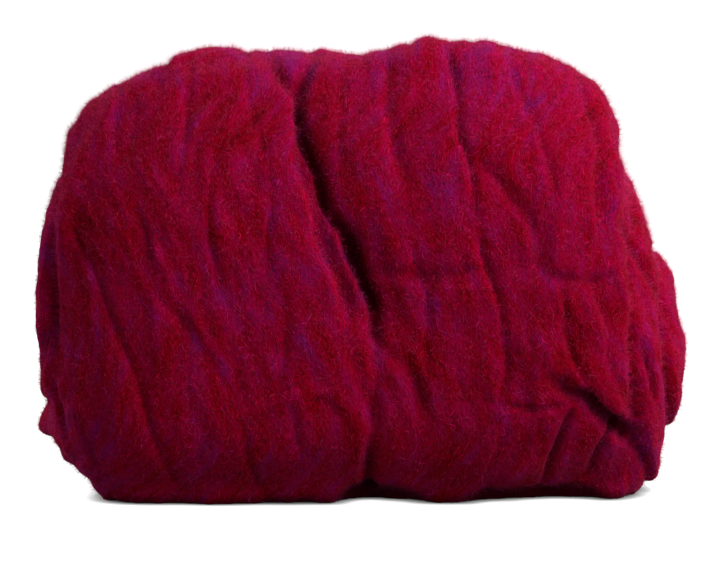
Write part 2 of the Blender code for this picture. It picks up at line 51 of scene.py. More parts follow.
# The batt's skin
WELD = 0.01                # corners of the solid closer than this are one
CLOSING = 9.0              # grooves of the solid up to about twice this wide are closed, and pressed in anew
CLOSING_VOXEL = 2.0        # size of the faces while they are closed
SKIN_VOXEL = 1.2           # size of the skin's faces
SKIN_SMOOTHING = 4         # passes that take facets away
FORM_SMOOTHING = 14        # passes on the normals that creases are pressed along
CREASE_SMOOTHING = 1       # passes after the creases are in
CREASE_SOFTNESS = 0.4      # how far each of them goes
HOLLOW_SMOOTHING = 90      # passes that give the plain form, which hollows are measured from
FILL = 0.85                # share of the broad hollows left that the skin's loose wool fills
SHAVE = 0.80               # share of the broad ridges on the front that it lies flat over
FRONT_FACING = (0.45, 0.8) # the front begins, and is full, where the skin faces forward this squarely
FILL_SMOOTHING = 320       # passes that give the form that they are filled up to
FILL_SOFTENING = 6         # passes over the filling itself
DRAWN_IN = 0.9             # how far the skin lies inside the solid, for the hairs that stand on it
FOOT_BAND = 2.0            # below this height the skin is neither filled nor drawn in
FOOT_HEIGHT = 0.7          # below this height it is pressed flat on the table
LUMP_DEPTH = 22.0          # how far a lump of the outline goes from front to back

# How routes are found on the skin, and pressed in
RAY_START = 200.0          # how far out the rays start that find a route
ROUTE_STEP = 0.7           # distance between the points of a route
ROUTE_REACH = 4            # each point is evened out with this many on either side
PRESS_MARGIN = 1.05        # a crease is felt this many times its own width away
LIP_SWELL = 0.3            # how far a leaning side swells, as a share of its lap
GAP_POWER, CREASE_POWER = 0.8, 1.5
FOOT_EDGE = 3.0            # the height that the foot's edge is found at
FOOT_FADE = 3.0            # a foot gap fades out over this many times its depth

# The roll's axis, and the box that its flow of fibres is measured in
AXIS_HEIGHT = 60.0
HALF_LENGTH = 98.0
END_RADIUS = 62.0
ROUND_SCALE = 50.0         # millimetres of flow for each radian round the axis
CORNER_POWER = 6.0         # how square the change from side to end is
FLOW_SPAN = 336.0          # the flow map covers this much each way
FRONT_SLANT = 0.34         # sideways run of the front's folds for each step down
FRONT_BAND = (5.0, 40.0)   # it begins, and is full, this far in front of the axis
HEIGHT_BAND = (62.0, 36.0) # and this far above or below it

Waves = namedtuple("Waves", "name height wide long seed")
# Noise that is drawn out along the fibres: the fine relief of the carded wool, and the marl of its dyes
RELIEF = (
    Waves("ripple", 0.42, 4.2, 17.0, 4.0),
    Waves("strand", 0.20, 2.1, 9.0, 5.0),
    Waves("lump", 0.35, 9.0, 9.0, 6.0),
)
MARL = (
    Waves("broad", 0.12, 15.0, 30.0, 1.0),
    Waves("fine", 0.22, 5.0, 12.0, 2.0),
    Waves("fleck", 0.26, 2.2, 6.0, 3.0),
)
NOISE_GAIN = 1.6           # brings the noise to about -1 to 1
SEED_STEPS = (7.31, 3.17, 1.93)
MARL_MIDDLE = 0.50         # the marl's middle shade, as in DYES
TOP_PAINTED_SHEEN = 0.12         # painted sheen: the marl is pushed this much towards magenta along the top, for the light from above
TOP_SHEEN_BAND = (105.0, 135.0)  # which begins, and is full, at these heights
SEED = 5170

Crease = namedtuple("Crease", "name left right lap route")
# Each crease is left wide on one side of its route and right wide on the other, and its left side leans lap over
# it. Left is the picture's left where the route goes down, and its right where it goes up. Where the route goes to
# the right, left is below. The route's points are x, z and depth on the front, and a depth below 0 is a raised
# ridge. The gaps have steep walls, and are pressed in before the creases.
GAPS = (
    Crease("main_cleft", 1.8, 2.7, 0.3, (
        (-17.4, 127.1, 0.8), (-18.3, 123.5, 4.5), (-18.6, 118.7, 7.5), (-18.3, 114.5, 9.5),
        (-17.4, 110.6, 10.0), (-15.6, 106.1, 10.0), (-13.5, 101.6, 10.0), (-11.7, 97.1, 10.0),
        (-10.2, 91.7, 10.0), (-8.7, 86.9, 10.0), (-6.6, 83.3, 9.5), (-3.6, 79.1, 9.5), (-1.8, 74.9, 10.5),
        (-0.6, 70.1, 10.5), (1.2, 65.6, 9.5), (3.3, 61.1, 9.5), (3.9, 55.7, 7.5), (4.2, 50.6, 5.5),
        (4.5, 46.1, 0.8))),
    Crease("cleft_flank", 2.5, 9.5, 0.0, (
        (-17.1, 121.7, 0.4), (-17.4, 116.9, 1.6), (-16.8, 111.5, 2.4), (-14.7, 105.5, 2.8), (-12.0, 99.5, 2.8),
        (-9.9, 93.5, 2.8), (-8.1, 88.1, 2.8), (-5.1, 82.7, 2.8), (-2.1, 77.3, 2.8), (0.0, 71.3, 2.8),
        (2.1, 65.3, 2.4), (4.2, 59.3, 2.0), (5.4, 52.7, 1.4), (6.6, 47.3, 0.3))),
    Crease("cleft_strip", 1.2, 6.0, 0.2, (
        (-19.8, 112.1, 0.3), (-19.2, 107.9, 2.6), (-18.6, 103.1, 4.0), (-18.0, 98.9, 4.5), (-16.5, 94.1, 4.5),
        (-14.7, 89.6, 4.5), (-13.2, 84.5, 4.5), (-12.6, 79.7, 4.0), (-11.1, 74.9, 4.2), (-9.3, 70.1, 4.5),
        (-7.2, 65.6, 4.5), (-5.7, 61.1, 4.0), (-4.5, 56.3, 2.6), (-3.0, 51.5, 0.4))),
    Crease("cleft_pocket", 3.0, 4.0, 0.0, (
        (-7.2, 83.9, 0.5), (-5.1, 81.2, 3.0), (-3.3, 77.6, 6.0), (-2.4, 73.7, 7.0), (-0.9, 70.1, 5.5),
        (1.2, 65.9, 6.0), (2.7, 62.3, 5.5), (3.6, 58.1, 0.5))),
    Crease("cleft_arm_left", 2.2, 3.0, 0.0, (
        (-28.2, 131.3, 0.6), (-26.4, 127.4, 3.0), (-23.4, 123.8, 4.2), (-19.5, 119.6, 4.0))),
    Crease("cleft_arm_right", 2.2, 2.4, 0.0, (
        (-10.5, 135.5, 1.2), (-12.6, 131.9, 2.8), (-15.0, 128.6, 4.0), (-17.4, 123.5, 5.0),
        (-18.6, 118.7, 3.0))),
    Crease("overhang_wedge", 2.2, 4.2, 1.6, (
        (82.2, 19.7, 0.6), (79.5, 21.2, 5.0), (75.9, 23.3, 9.0), (72.6, 26.9, 10.5), (69.0, 28.7, 9.5),
        (65.4, 32.6, 6.5), (60.6, 34.4, 4.5), (55.8, 37.4, 2.4), (50.4, 39.2, 0.3))),
)
CREASES = (
    Crease("cleft_tail", 5.0, 2.8, 0.0, (
        (4.5, 49.1, 0.5), (6.9, 46.1, 1.2), (10.5, 43.1, 1.3), (14.1, 39.8, 1.5), (16.2, 36.2, 2.6),
        (17.1, 32.9, 2.8), (18.3, 28.7, 1.8), (19.8, 24.5, 0.4))),
    Crease("valley_right_of_cleft", 2.6, 3.4, 0.1, (
        (-4.8, 131.9, 0.3), (-5.7, 123.5, 1.0), (-6.6, 113.0, 1.0), (-6.0, 102.5, 0.9), (-3.6, 92.0, 0.3))),
    Crease("second_face_line", 2.4, 3.4, 0.2, (
        (9.0, 135.5, 0.6), (7.8, 127.7, 1.4), (7.2, 118.1, 1.6), (8.7, 107.0, 1.6), (11.1, 97.7, 1.6),
        (13.2, 89.0, 0.3))),
    Crease("middle_face_line", 1.6, 2.2, 0.5, (
        (24.3, 137.9, 1.0), (25.5, 130.1, 2.4), (27.3, 121.7, 3.0), (27.6, 113.9, 2.8), (27.6, 109.1, 3.4),
        (29.7, 103.1, 3.2), (31.5, 96.5, 2.8), (32.4, 88.1, 1.8), (33.0, 81.5, 0.3))),
    Crease("slanting_line", 2.4, 4.2, 0.2, (
        (31.8, 103.1, 0.3), (35.4, 98.3, 1.3), (39.6, 93.5, 1.6), (44.1, 88.1, 1.7), (48.3, 82.7, 1.6),
        (50.7, 76.7, 1.6), (50.4, 71.9, 1.6), (52.8, 67.4, 1.0), (55.2, 63.5, 0.2))),
    Crease("lower_middle_line", 1.5, 2.1, 0.5, (
        (33.6, 80.9, 0.4), (34.2, 74.9, 2.6), (35.7, 69.2, 3.8), (38.1, 63.2, 3.4), (39.9, 56.9, 2.6),
        (40.8, 48.5, 1.8), (41.7, 40.1, 2.6), (39.9, 32.9, 1.8), (38.4, 28.1, 0.3))),
    Crease("inner_face_line", 1.5, 1.9, 0.3, (
        (13.2, 79.1, 0.3), (14.7, 73.1, 1.6), (16.5, 68.3, 2.2), (18.3, 62.9, 1.6), (18.9, 54.5, 1.4),
        (18.6, 44.9, 1.4), (17.7, 36.5, 0.4))),
    Crease("waist_line", 2.4, 5.0, 0.2, (
        (77.4, 69.5, 0.2), (72.6, 67.7, 0.8), (67.8, 65.9, 1.3), (63.0, 66.2, 0.9), (58.5, 66.8, 1.5),
        (54.3, 67.7, 1.2), (50.4, 70.1, 0.6), (45.0, 70.1, 0.3), (39.6, 68.6, 0.5), (35.4, 68.9, 1.3),
        (31.2, 69.5, 0.9), (26.4, 67.7, 1.0), (21.6, 68.6, 0.7), (16.8, 67.1, 1.6), (12.0, 68.9, 0.9),
        (7.8, 68.3, 1.2), (3.6, 70.1, 0.5))),
    Crease("lobe_line", 1.5, 1.9, 0.5, (
        (56.4, 67.1, 0.4), (57.6, 61.7, 1.8), (58.5, 55.1, 1.8), (59.1, 48.5, 1.8), (60.9, 43.1, 2.0),
        (63.6, 37.7, 1.6), (66.6, 33.2, 0.6))),
    Crease("lobe_line_right", 1.5, 2.0, 0.3, (
        (64.8, 65.3, 0.3), (67.8, 59.9, 1.4), (69.9, 53.0, 1.2), (70.8, 44.9, 1.2), (72.6, 37.7, 0.2))),
    Crease("shoulder_line", 1.4, 2.0, 0.4, (
        (61.2, 131.9, 0.6), (63.0, 125.3, 1.8), (65.4, 116.3, 2.0), (67.8, 107.3, 2.0), (68.4, 98.0, 1.2),
        (67.5, 89.0, 1.2), (67.5, 78.5, 0.3))),
    Crease("upper_right_faint", 1.8, 2.2, 0.2, (
        (42.9, 132.5, 0.2), (45.0, 123.5, 1.0), (48.6, 113.9, 1.2), (52.2, 104.0, 1.3), (54.9, 93.5, 1.1),
        (56.4, 82.1, 0.2))),
    Crease("side_hollow", 3.2, 3.8, 0.4, (
        (73.2, 83.9, 0.5), (75.9, 79.1, 2.2), (79.5, 73.1, 2.6), (83.7, 65.9, 2.8), (87.6, 58.1, 2.6),
        (91.2, 50.3, 2.0), (92.4, 43.7, 0.4))),
    Crease("side_lower_line", 1.8, 2.2, 0.5, (
        (80.4, 49.1, 0.3), (82.2, 43.7, 1.8), (84.0, 37.1, 2.4), (85.2, 31.1, 2.0), (86.7, 25.1, 0.6))),
    Crease("side_upper_line", 1.4, 1.8, 0.3, (
        (70.8, 105.5, 0.2), (73.2, 96.5, 1.2), (75.0, 88.7, 1.4), (78.0, 80.9, 0.4))),
    Crease("under_overhang", 1.8, 2.2, 0.3, (
        (35.4, 31.1, 0.2), (41.4, 29.9, 1.2), (48.6, 28.4, 1.5), (55.2, 29.0, 1.3), (61.2, 31.1, 0.3))),
    Crease("pleat_a", 1.5, 2.6, 0.4, (
        (53.4, 5.9, 1.6), (54.9, 11.3, 4.2), (57.0, 17.0, 4.4), (58.8, 23.0, 3.6), (61.2, 29.0, 1.6))),
    Crease("pleat_b", 1.6, 2.8, 0.4, (
        (66.6, 7.1, 1.6), (68.4, 13.1, 4.2), (71.1, 18.5, 4.6), (73.2, 23.3, 4.2), (75.3, 26.9, 1.8))),
    Crease("pleat_faint", 1.6, 2.0, 0.2, (
        (43.8, 27.5, 0.2), (41.1, 21.5, 1.0), (38.4, 14.9, 1.1), (35.4, 8.3, 0.3))),
    Crease("foot_hollow", 2.8, 3.4, 0.1, (
        (4.5, 48.5, 0.4), (3.9, 43.7, 1.1), (3.9, 36.5, 1.5), (3.3, 29.0, 1.6), (3.0, 21.5, 1.4),
        (2.1, 14.9, 2.8), (1.8, 7.7, 4.4), (2.4, 2.9, 3.5))),
    Crease("low_lobe_top", 1.8, 2.4, 0.2, (
        (-17.4, 31.7, 0.2), (-13.2, 31.7, 0.9), (-8.4, 29.3, 1.0), (-4.8, 24.5, 0.9), (-3.3, 19.7, 0.2))),
    Crease("low_lobe_left", 1.5, 1.8, 0.3, (
        (-20.4, 31.7, 0.2), (-19.2, 25.1, 1.2), (-18.6, 18.5, 1.0), (-16.8, 11.9, 0.2))),
    Crease("low_tuck_left", 1.6, 2.0, 0.4, (
        (-34.8, 26.9, 0.2), (-33.9, 20.3, 1.2), (-33.0, 13.7, 1.8), (-30.6, 7.1, 1.8), (-29.4, 2.9, 0.6))),
    Crease("thread_shadow", 1.2, 1.8, 0.3, (
        (-63.6, 70.1, 0.3), (-61.2, 65.3, 1.2), (-57.6, 59.9, 1.3), (-52.5, 54.5, 1.3), (-47.7, 48.5, 1.2),
        (-43.5, 42.5, 1.3), (-39.9, 35.9, 1.4), (-36.6, 32.3, 0.4))),
    Crease("thread_shadow_upper", 1.3, 1.6, 0.3, (
        (-66.0, 88.7, 0.2), (-63.6, 82.7, 1.2), (-61.5, 76.1, 1.4), (-60.6, 71.3, 0.4))),
    Crease("long_left_fold", 1.6, 2.4, 0.3, (
        (-85.2, 83.9, 0.3), (-82.8, 78.5, 1.4), (-79.5, 71.6, 1.2), (-75.9, 64.4, 1.4), (-72.3, 54.5, 1.7),
        (-68.4, 45.5, 1.7), (-64.8, 37.1, 1.6), (-62.1, 26.6, 1.9), (-59.1, 17.0, 1.6), (-56.1, 10.1, 1.2),
        (-53.4, 4.1, 0.3))),
    Crease("left_edge_hollow", 3.0, 3.6, 0.3, (
        (-90.0, 86.9, 0.6), (-90.3, 78.5, 2.0), (-90.0, 69.5, 2.6), (-90.0, 60.5, 2.8), (-89.7, 50.0, 2.6),
        (-89.4, 43.7, 1.0))),
    Crease("left_edge_low", 2.6, 3.2, 0.3, (
        (-90.6, 36.5, 0.6), (-89.7, 31.7, 2.4), (-88.8, 26.9, 2.8), (-87.6, 22.1, 2.0), (-85.8, 17.3, 0.4))),
    Crease("crest_left", 2.2, 2.6, 0.4, (
        (-63.6, 124.1, 0.3), (-58.2, 126.5, 1.6), (-51.6, 128.9, 2.4), (-46.2, 131.6, 2.8),
        (-40.8, 133.4, 2.0), (-34.8, 134.9, 0.4))),
    Crease("rib_line_a", 1.6, 2.0, 0.3, (
        (-50.4, 125.3, 0.3), (-51.0, 118.1, 1.3), (-51.0, 110.9, 1.6), (-51.6, 102.5, 1.2),
        (-52.8, 95.3, 0.3))),
    Crease("rib_line_b", 1.6, 2.0, 0.3, (
        (-42.0, 105.5, 0.2), (-43.2, 96.5, 1.0), (-43.8, 87.5, 1.2), (-43.5, 77.0, 1.4), (-41.7, 68.9, 1.2),
        (-39.6, 60.5, 0.3))),
    Crease("rib_line_c", 1.6, 2.0, 0.3, (
        (-33.6, 132.5, 0.3), (-34.2, 125.3, 1.2), (-33.0, 117.5, 1.2), (-30.0, 108.5, 0.8), (-27.0, 97.7, 0.8),
        (-26.1, 87.5, 1.2), (-27.0, 78.5, 1.2), (-27.3, 68.9, 0.3))),
    Crease("rib_line_d", 1.5, 1.8, 0.3, (
        (-22.8, 56.9, 0.2), (-22.2, 50.3, 1.2), (-22.5, 42.5, 1.3), (-24.0, 34.7, 0.4))),
    Crease("rib_line_e", 1.6, 2.0, 0.2, (
        (-70.2, 127.1, 0.3), (-71.4, 120.5, 1.2), (-72.0, 112.1, 1.2), (-71.4, 103.7, 0.8),
        (-68.4, 95.9, 0.2))),
    Crease("corner_line", 1.6, 2.0, 0.3, (
        (-83.4, 29.0, 0.2), (-81.6, 22.1, 1.2), (-78.6, 14.9, 1.4), (-75.0, 8.3, 0.6))),
    Crease("bright_band_low", 4.5, 4.5, 0.0, (
        (-36.6, 26.3, -0.2), (-31.2, 28.7, -0.7), (-23.4, 31.1, -0.8), (-16.8, 32.9, -0.9),
        (-12.0, 33.5, -0.6), (-7.2, 31.1, -0.2))),
    Crease("thread_ridge", 1.6, 1.6, 0.0, (
        (-63.0, 88.1, -0.2), (-60.6, 80.9, -0.9), (-58.8, 73.1, -1.6), (-56.4, 68.9, -1.0),
        (-53.4, 64.1, -0.4))),
    Crease("thread_ridge_low", 1.5, 1.5, 0.0, (
        (-55.8, 65.3, -0.2), (-51.6, 59.3, -1.2), (-47.4, 53.9, -1.0), (-43.2, 47.3, -0.8),
        (-40.2, 41.9, -0.2))),
)

# The same for the lines that cross the top and go down the back, and the outer edge of the batt along the back.
# The route's points are x, the angle round the axis in degrees (0 is the front, 90 the top and 180 the back) and
# the depth. On the back, where a route goes in the direction of x, left is above.
RIBS = (
    Crease("crest_a", 3.3, 4.7, 0.4, (
        (-60.0, 62.0, 0.2), (-58.0, 90.0, 1.5), (-62.0, 125.0, 3.1), (-66.0, 165.0, 2.2),
        (-67.0, 190.0, 0.3))),
    Crease("crest_b", 2.8, 3.8, 0.4, (
        (-35.0, 70.0, 0.2), (-34.0, 95.0, 1.5), (-37.0, 130.0, 2.4), (-39.0, 165.0, 2.9),
        (-44.0, 194.0, 0.4))),
    Crease("crest_c", 3.8, 4.8, 0.4, (
        (-17.0, 84.0, 0.5), (-15.0, 104.0, 1.6), (-19.0, 135.0, 3.0), (-24.0, 160.0, 1.6),
        (-27.0, 174.0, 0.3))),
    Crease("crest_d", 2.6, 4.6, 0.4, (
        (1.0, 78.0, 0.3), (0.0, 100.0, 1.5), (-3.0, 130.0, 2.2), (-4.0, 155.0, 3.0), (-10.0, 184.0, 2.0),
        (-13.0, 198.0, 0.3))),
    Crease("crest_e", 3.0, 4.0, 0.4, (
        (14.0, 74.0, 0.3), (15.0, 96.0, 1.2), (18.0, 125.0, 2.2), (17.0, 150.0, 3.1), (12.0, 176.0, 2.6),
        (9.0, 196.0, 0.3))),
    Crease("crest_f", 4.0, 3.2, 0.4, (
        (32.0, 76.0, 0.3), (33.0, 104.0, 1.4), (31.0, 128.0, 2.8), (34.0, 148.0, 1.4), (36.0, 160.0, 0.3))),
    Crease("back_middle", 2.8, 4.0, 0.4, (
        (27.0, 150.0, 0.3), (29.0, 163.0, 2.2), (32.0, 180.0, 2.8), (37.0, 196.0, 0.4))),
    Crease("crest_g", 2.8, 4.8, 0.4, (
        (49.0, 80.0, 0.3), (48.0, 105.0, 1.4), (52.0, 135.0, 2.8), (56.0, 160.0, 2.4), (55.0, 188.0, 0.4))),
    Crease("crest_h", 3.0, 3.7, 0.4, (
        (63.0, 90.0, 0.3), (64.0, 112.0, 1.4), (68.0, 135.0, 2.6), (72.0, 158.0, 1.6), (74.0, 172.0, 0.3))),
    Crease("back_low_a", 2.8, 4.2, 0.4, (
        (-50.0, 206.0, 0.4), (-47.0, 216.0, 3.1), (-45.0, 230.0, 2.0), (-45.0, 238.0, 0.5))),
    Crease("back_low_b", 3.4, 3.8, 0.4, (
        (-8.0, 205.0, 0.4), (-12.0, 215.0, 2.8), (-13.0, 227.0, 2.0), (-12.0, 234.0, 0.4))),
    Crease("back_low_c", 2.8, 4.2, 0.4, (
        (22.0, 204.0, 0.4), (25.0, 213.0, 2.4), (24.0, 222.0, 1.2), (23.0, 228.0, 0.3))),
    Crease("back_low_d", 2.8, 4.6, 0.4, (
        (58.0, 205.0, 0.4), (63.0, 215.0, 3.1), (66.0, 228.0, 2.6), (67.0, 237.0, 0.4))),
    Crease("outer_edge_of_batt", 2.6, 11.0, 2.2, (
        (-84.0, 202.0, 0.8), (-70.0, 200.0, 3.4), (-48.0, 202.0, 4.4), (-22.0, 199.0, 4.4), (4.0, 201.5, 4.6),
        (30.0, 199.5, 4.4), (54.0, 202.0, 3.8), (72.0, 199.5, 3.0), (84.0, 202.0, 0.6))),
)

Turns = namedtuple("Turns", "name left right lap depth side middle rim_middle half_high half_deep first last turns"
                            " start")
# The spiral groove of the roll's turns on each end. side is -1 on the left end. The spiral goes from first to
# last, as shares of the way from the end's middle to its rim, makes this many turns, and starts at this angle
# in degrees. Its middle shifts in height from middle to rim_middle on the way.
END_TURNS = (
    Turns("left_end_turns", 3.0, 3.8, 0.4, 3.4, -1.0, 56.0, 59.0, 64.0, 48.5, 0.14, 0.86, 2.25, 250.0),
    Turns("right_end_turns", 3.0, 3.8, 0.4, 3.4, 1.0, 41.5, 57.4, 63.4, 50.0, 0.14, 0.86, 2.3, 20.0),
)
TURN_POINTS = 90           # points of the spiral in each turn
TURN_WOBBLE = 0.06         # how unevenly the turns are wound, as a share of the end's radius
TURN_FADE = 6.0            # the groove fades out over one part in this many at either end
MIDDLE_POWER = 5           # how late the middle shifts on the way out
DEEP_POWER = 0.65          # how soon a turn is as deep as the end is

FootGap = namedtuple("FootGap", "name route")
# Where the wool's foot draws back from the table. Each point is x, how high the gap is and how deep.
FOOT_GAPS = (
    FootGap("gap_left", (
        (-34.0, 0.3, 0.3), (-28.0, 1.4, 2.5), (-20.0, 2.0, 3.5), (-13.0, 1.4, 2.5), (-9.5, 0.4, 0.3))),
    FootGap("gap_middle", (
        (-9.0, 0.6, 0.5), (-5.5, 4.0, 6.0), (-2.0, 6.4, 10.0), (4.0, 5.4, 11.0), (9.0, 6.0, 10.0),
        (14.0, 4.4, 8.0), (18.0, 2.0, 3.0), (20.5, 0.4, 0.3))),
    FootGap("gap_right", (
        (27.0, 0.5, 0.4), (32.0, 3.0, 5.0), (37.0, 5.2, 9.0), (45.0, 4.8, 10.0), (53.0, 6.0, 10.5),
        (60.0, 5.0, 10.0), (66.0, 5.2, 8.0), (70.0, 3.0, 4.0), (73.5, 0.5, 0.4))),
)

Lump = namedtuple("Lump", "name x z size height")
# Lumps and dents of the outline, which the front shows: each is at x and z, this wide, and stands out this far
LUMPS = (
    Lump("left_notch", -98.0, 42.5, 5.0, -3.0),
    Lump("left_low_lump", -94.0, 19.0, 3.4, 8.5),
    Lump("left_foot_tuck", -80.0, 1.5, 5.0, -2.5),
    Lump("left_high_lump", -90.0, 103.0, 8.0, 1.4),
    Lump("right_crest_dent", 58.0, 136.0, 13.0, -1.2),
    Lump("right_shoulder_lump", 77.0, 108.0, 5.0, 1.2),
    Lump("right_notch", 97.0, 33.5, 4.5, -1.0),
    Lump("right_low_lump", 92.0, 21.0, 6.0, 2.0),
    Lump("right_foot_wisp", 87.0, 6.5, 3.2, 2.2),
)

Patch = namedtuple("Patch", "name x z wide high shade")
# Places on the front where one dye shows more than the marl gives: shade is added to it
PATCHES = (
    Patch("purple_at_the_crest", -20.0, 130.0, 5.0, 6.0, 0.34),
    Patch("purple_on_the_right_face", 40.0, 118.0, 9.0, 10.0, 0.28),
    Patch("purple_below_the_cleft", -3.0, 66.0, 5.0, 12.0, 0.24),
    Patch("purple_left_edge", -92.0, 70.0, 5.0, 30.0, 0.26),
    Patch("scarlet_left", -76.0, 80.0, 8.0, 9.0, -0.26),
    Patch("scarlet_ridge", -40.0, 112.0, 12.0, 10.0, -0.16),
    Patch("scarlet_foot", 60.0, 42.0, 12.0, 14.0, -0.20),
    Patch("scarlet_right_top", 60.0, 104.0, 12.0, 10.0, -0.16),
    Patch("scarlet_centre", 19.0, 41.0, 7.0, 10.0, -0.22),
    Patch("scarlet_right_edge", 83.0, 73.0, 8.0, 12.0, -0.18),
    Patch("scarlet_crown", 71.0, 120.0, 6.0, 8.0, -0.18),
    Patch("magenta_corner_low_right", 80.0, 14.0, 10.0, 12.0, 0.14),
    Patch("magenta_corner_low_left", -80.0, 16.0, 14.0, 16.0, 0.22),
    Patch("magenta_ridge", -34.0, 66.0, 7.0, 24.0, 0.14),
)

Dye = namedtuple("Dye", "name place colour")
# The dyes, each at its place between 0 and 1 on the scale of shades
DYES = (
    Dye("wine", 0.0, (0.210, 0.0006, 0.0060, 1.0)),
    Dye("scarlet", 0.22, (0.320, 0.0008, 0.0105, 1.0)),
    Dye("crimson", 0.48, (0.345, 0.0010, 0.0270, 1.0)),
    Dye("magenta", 0.74, (0.350, 0.0024, 0.0560, 1.0)),
    Dye("purple", 1.0, (0.265, 0.0055, 0.1100, 1.0)),
)

Strands = namedtuple("Strands", "name count points length thick flat spread crimp lift")
# The fibres that lie on the skin, from the reddest dye to the bluest. Each has this many points along it, its
# tips among them. flat is the height of a fibre as a share of its width, lift is how far it stands off the skin,
# and spread and crimp are in degrees.
COUNTS = {"scarlet_fibres": 8000, "crimson_fibres": 12000, "magenta_fibres": 12000, "purple_fibres": 8000}
LYING = [Strands(name, count, 3, 2.9, 0.26, 0.45, 42.0, 30.0, 0.06) for name, count in COUNTS.items()]
STANDING = Strands("standing_hairs", 3500, 4, 3.6, 0.06, 1.0, 60.0, 30.0, 0.9)
LENGTHS = (0.55, 1.35)     # the shortest and longest fibre, as shares of length
BEND, UNEVEN_CRIMP = 0.6, 0.4  # how far a fibre bends all one way, and how uneven its crimp is
LIFTED = 0.02              # how far the lowest fibres lie off the skin
LYING_RADII, HAIR_RADII = (0.6, 1.4), (0.6, 1.2)  # the thinnest and thickest, as shares of thick
LOOPED = 0.45              # share of the standing hairs that are loops
HAIR_POWER = 1.3           # how late the others rise
HAIR_REACH = (0.1, 2.6)    # the least and most that they stand off, as shares of lift

Nap = namedtuple("Nap", "name count shortest longest thick lean pale")
# The nap: the short ends of fibres that stand out of the wool all over, and lean up to this far from upright
NAPS = (
    Nap("short_nap", 44000, 0.3, 1.0, 0.12, 55.0, 0.04),
    Nap("middle_nap", 44000, 0.8, 2.5, 0.08, 50.0, 0.16),
    Nap("long_nap", 40000, 1.0, 3.0, 0.06, 50.0, 0.45),
)
NAP_POWER = 1.6            # how few of them are long
ROOTED = 0.05              # how far their foot is under the skin
OFF_AXIS = (0.013, 0.017, 0.011)  # keeps a spike that stands straight up from having no side
CORNERS = np.radians((90.0, 210.0, 330.0))[:, None]  # of a fibre's three-sided section
CLEARANCE = 0.05           # no fibre is lower than this

# Where fibres grow
THIN_SPAN = (5.0, 1.5)     # they are thinnest, and full, at these depths of a hollow
THINNEST = 0.2
DOWN_SPAN = (-0.3, 0.6)    # fewer stand where the skin's normal points down, between these heights of its tip
LOW_SHARE = 0.35           # share of hairs and nap that stand there
BARE_FOOT = 1.0            # none grow below this height

# Their colours, with painted shade in the hollows
MARK = 0.012               # size of a fibre's mark in its colour map
SHADE_SPREAD = 0.25        # how far a fibre's shade may be from the marl round it
LIGHT_MIDDLE, LIGHT_SPREAD = 0.44, 0.14
SHINING, SHINE = 0.09, (0.12, 0.42)  # share of the fibres that shine, and by how much
DULLEST, BRIGHTEST = 0.05, 2.2  # how bright a dye is at either end of the colour map
PAINTED_SHADE_SPAN = (0.4, 5.0)   # painted shade: the wool's colour darkens between these depths of a hollow
PAINTED_SHADE_SHARE = 0.79         # by up to this share
PALE = 0.50                # how much of this colour the standing hairs, which let light through, have in them
PALE_HAIR = (0.95, 0.09, 0.30, 1.0)

# The wool's shader, and the fine strands on its skin
WOOL = {"Roughness": 0.95, "Specular IOR Level": 0.0, "Sheen Weight": 0.25, "Sheen Roughness": 0.3,
        "Sheen Tint": (1.0, 0.16, 0.44, 1.0)}
FINE_STRANDS = {"Across": 900.0, "Along": 220.0, "Detail": 3.0}
COARSE_STRANDS = {"Across": 260.0, "Along": 80.0, "Detail": 2.0}
STRAND_SPAN = (0.3, 0.7)   # between these the noise of the strands has its full effect
FINE_SHIFT, COARSE_SHIFT = 0.22, 0.14  # how far they shift the shade either way
STRAND_LIGHT = (0.5, 1.15) # the darkest and brightest strand
BUMP, BUMP_HEIGHT = 0.8, 0.5

# The camera, at the photograph's angle. Its lengths are in metres, as are those of the table and the lights.
CAMERA_ELEVATION = 4.0     # degrees
CAMERA_DISTANCE = 1.1
CAMERA_AIM = (-0.0006, 0.0, 0.0606)
CAMERA_CLIP = (0.05, 60.0)
VIEW_HALF_WIDTH = 0.108    # half of what the picture spans at the aim

TABLE_SIZE = 50.0
TABLE_GAP = 0.0002         # how far the table lies under the wool
TABLE_GREY = (0.22, 0.22, 0.22, 1.0)
SHADOW_REACH = 0.004       # how far its shadow goes from the wool's foot
SHADOW_SAMPLES = 8

SoftBox = namedtuple("SoftBox", "name way distance size power")
# Soft white light from the upper right, a weaker one behind, one behind each end, and the pale room
SOFT_BOXES = (
    SoftBox("key_soft_box", (0.86, -0.44, 0.82), 0.7, (0.6, 0.6), 7.4),
    SoftBox("back_soft_box", (-0.15, 0.85, 0.5), 1.4, (1.0, 0.7), 9.0),
    SoftBox("left_rim_soft_box", (-0.85, 0.60, 0.25), 1.2, (0.8, 0.8), 12.0),
    SoftBox("right_rim_soft_box", (0.80, 0.65, 0.20), 1.2, (0.8, 0.8), 8.0),
)
ROOM_LIGHT, ROOM_SEEN = 0.28, 1.1  # the room's light, and how bright the camera sees it


def unit(vectors):
    return vectors / (np.linalg.norm(vectors, axis=-1, keepdims=True) + 1e-12)


def smooth_step(values, start, end):
    share = np.clip((values - start) / (end - start), 0.0, 1.0)
    return share * share * (3 - 2 * share)


def read_rows(items, name, width, kind):
    """One property of all the items of a mesh, in rows."""
    values = np.empty(len(items) * width, kind)
    items.foreach_get(name, values)
    return values.reshape(-1, width)


def read_points(mesh):
    return read_rows(mesh.vertices, "co", 3, float) / MM


def write_points(mesh, points):
    mesh.vertices.foreach_set("co", (points * MM).ravel())
    mesh.update()


def read_normals(mesh):
    return read_rows(mesh.vertex_normals, "vector", 3, np.float32).astype(float)


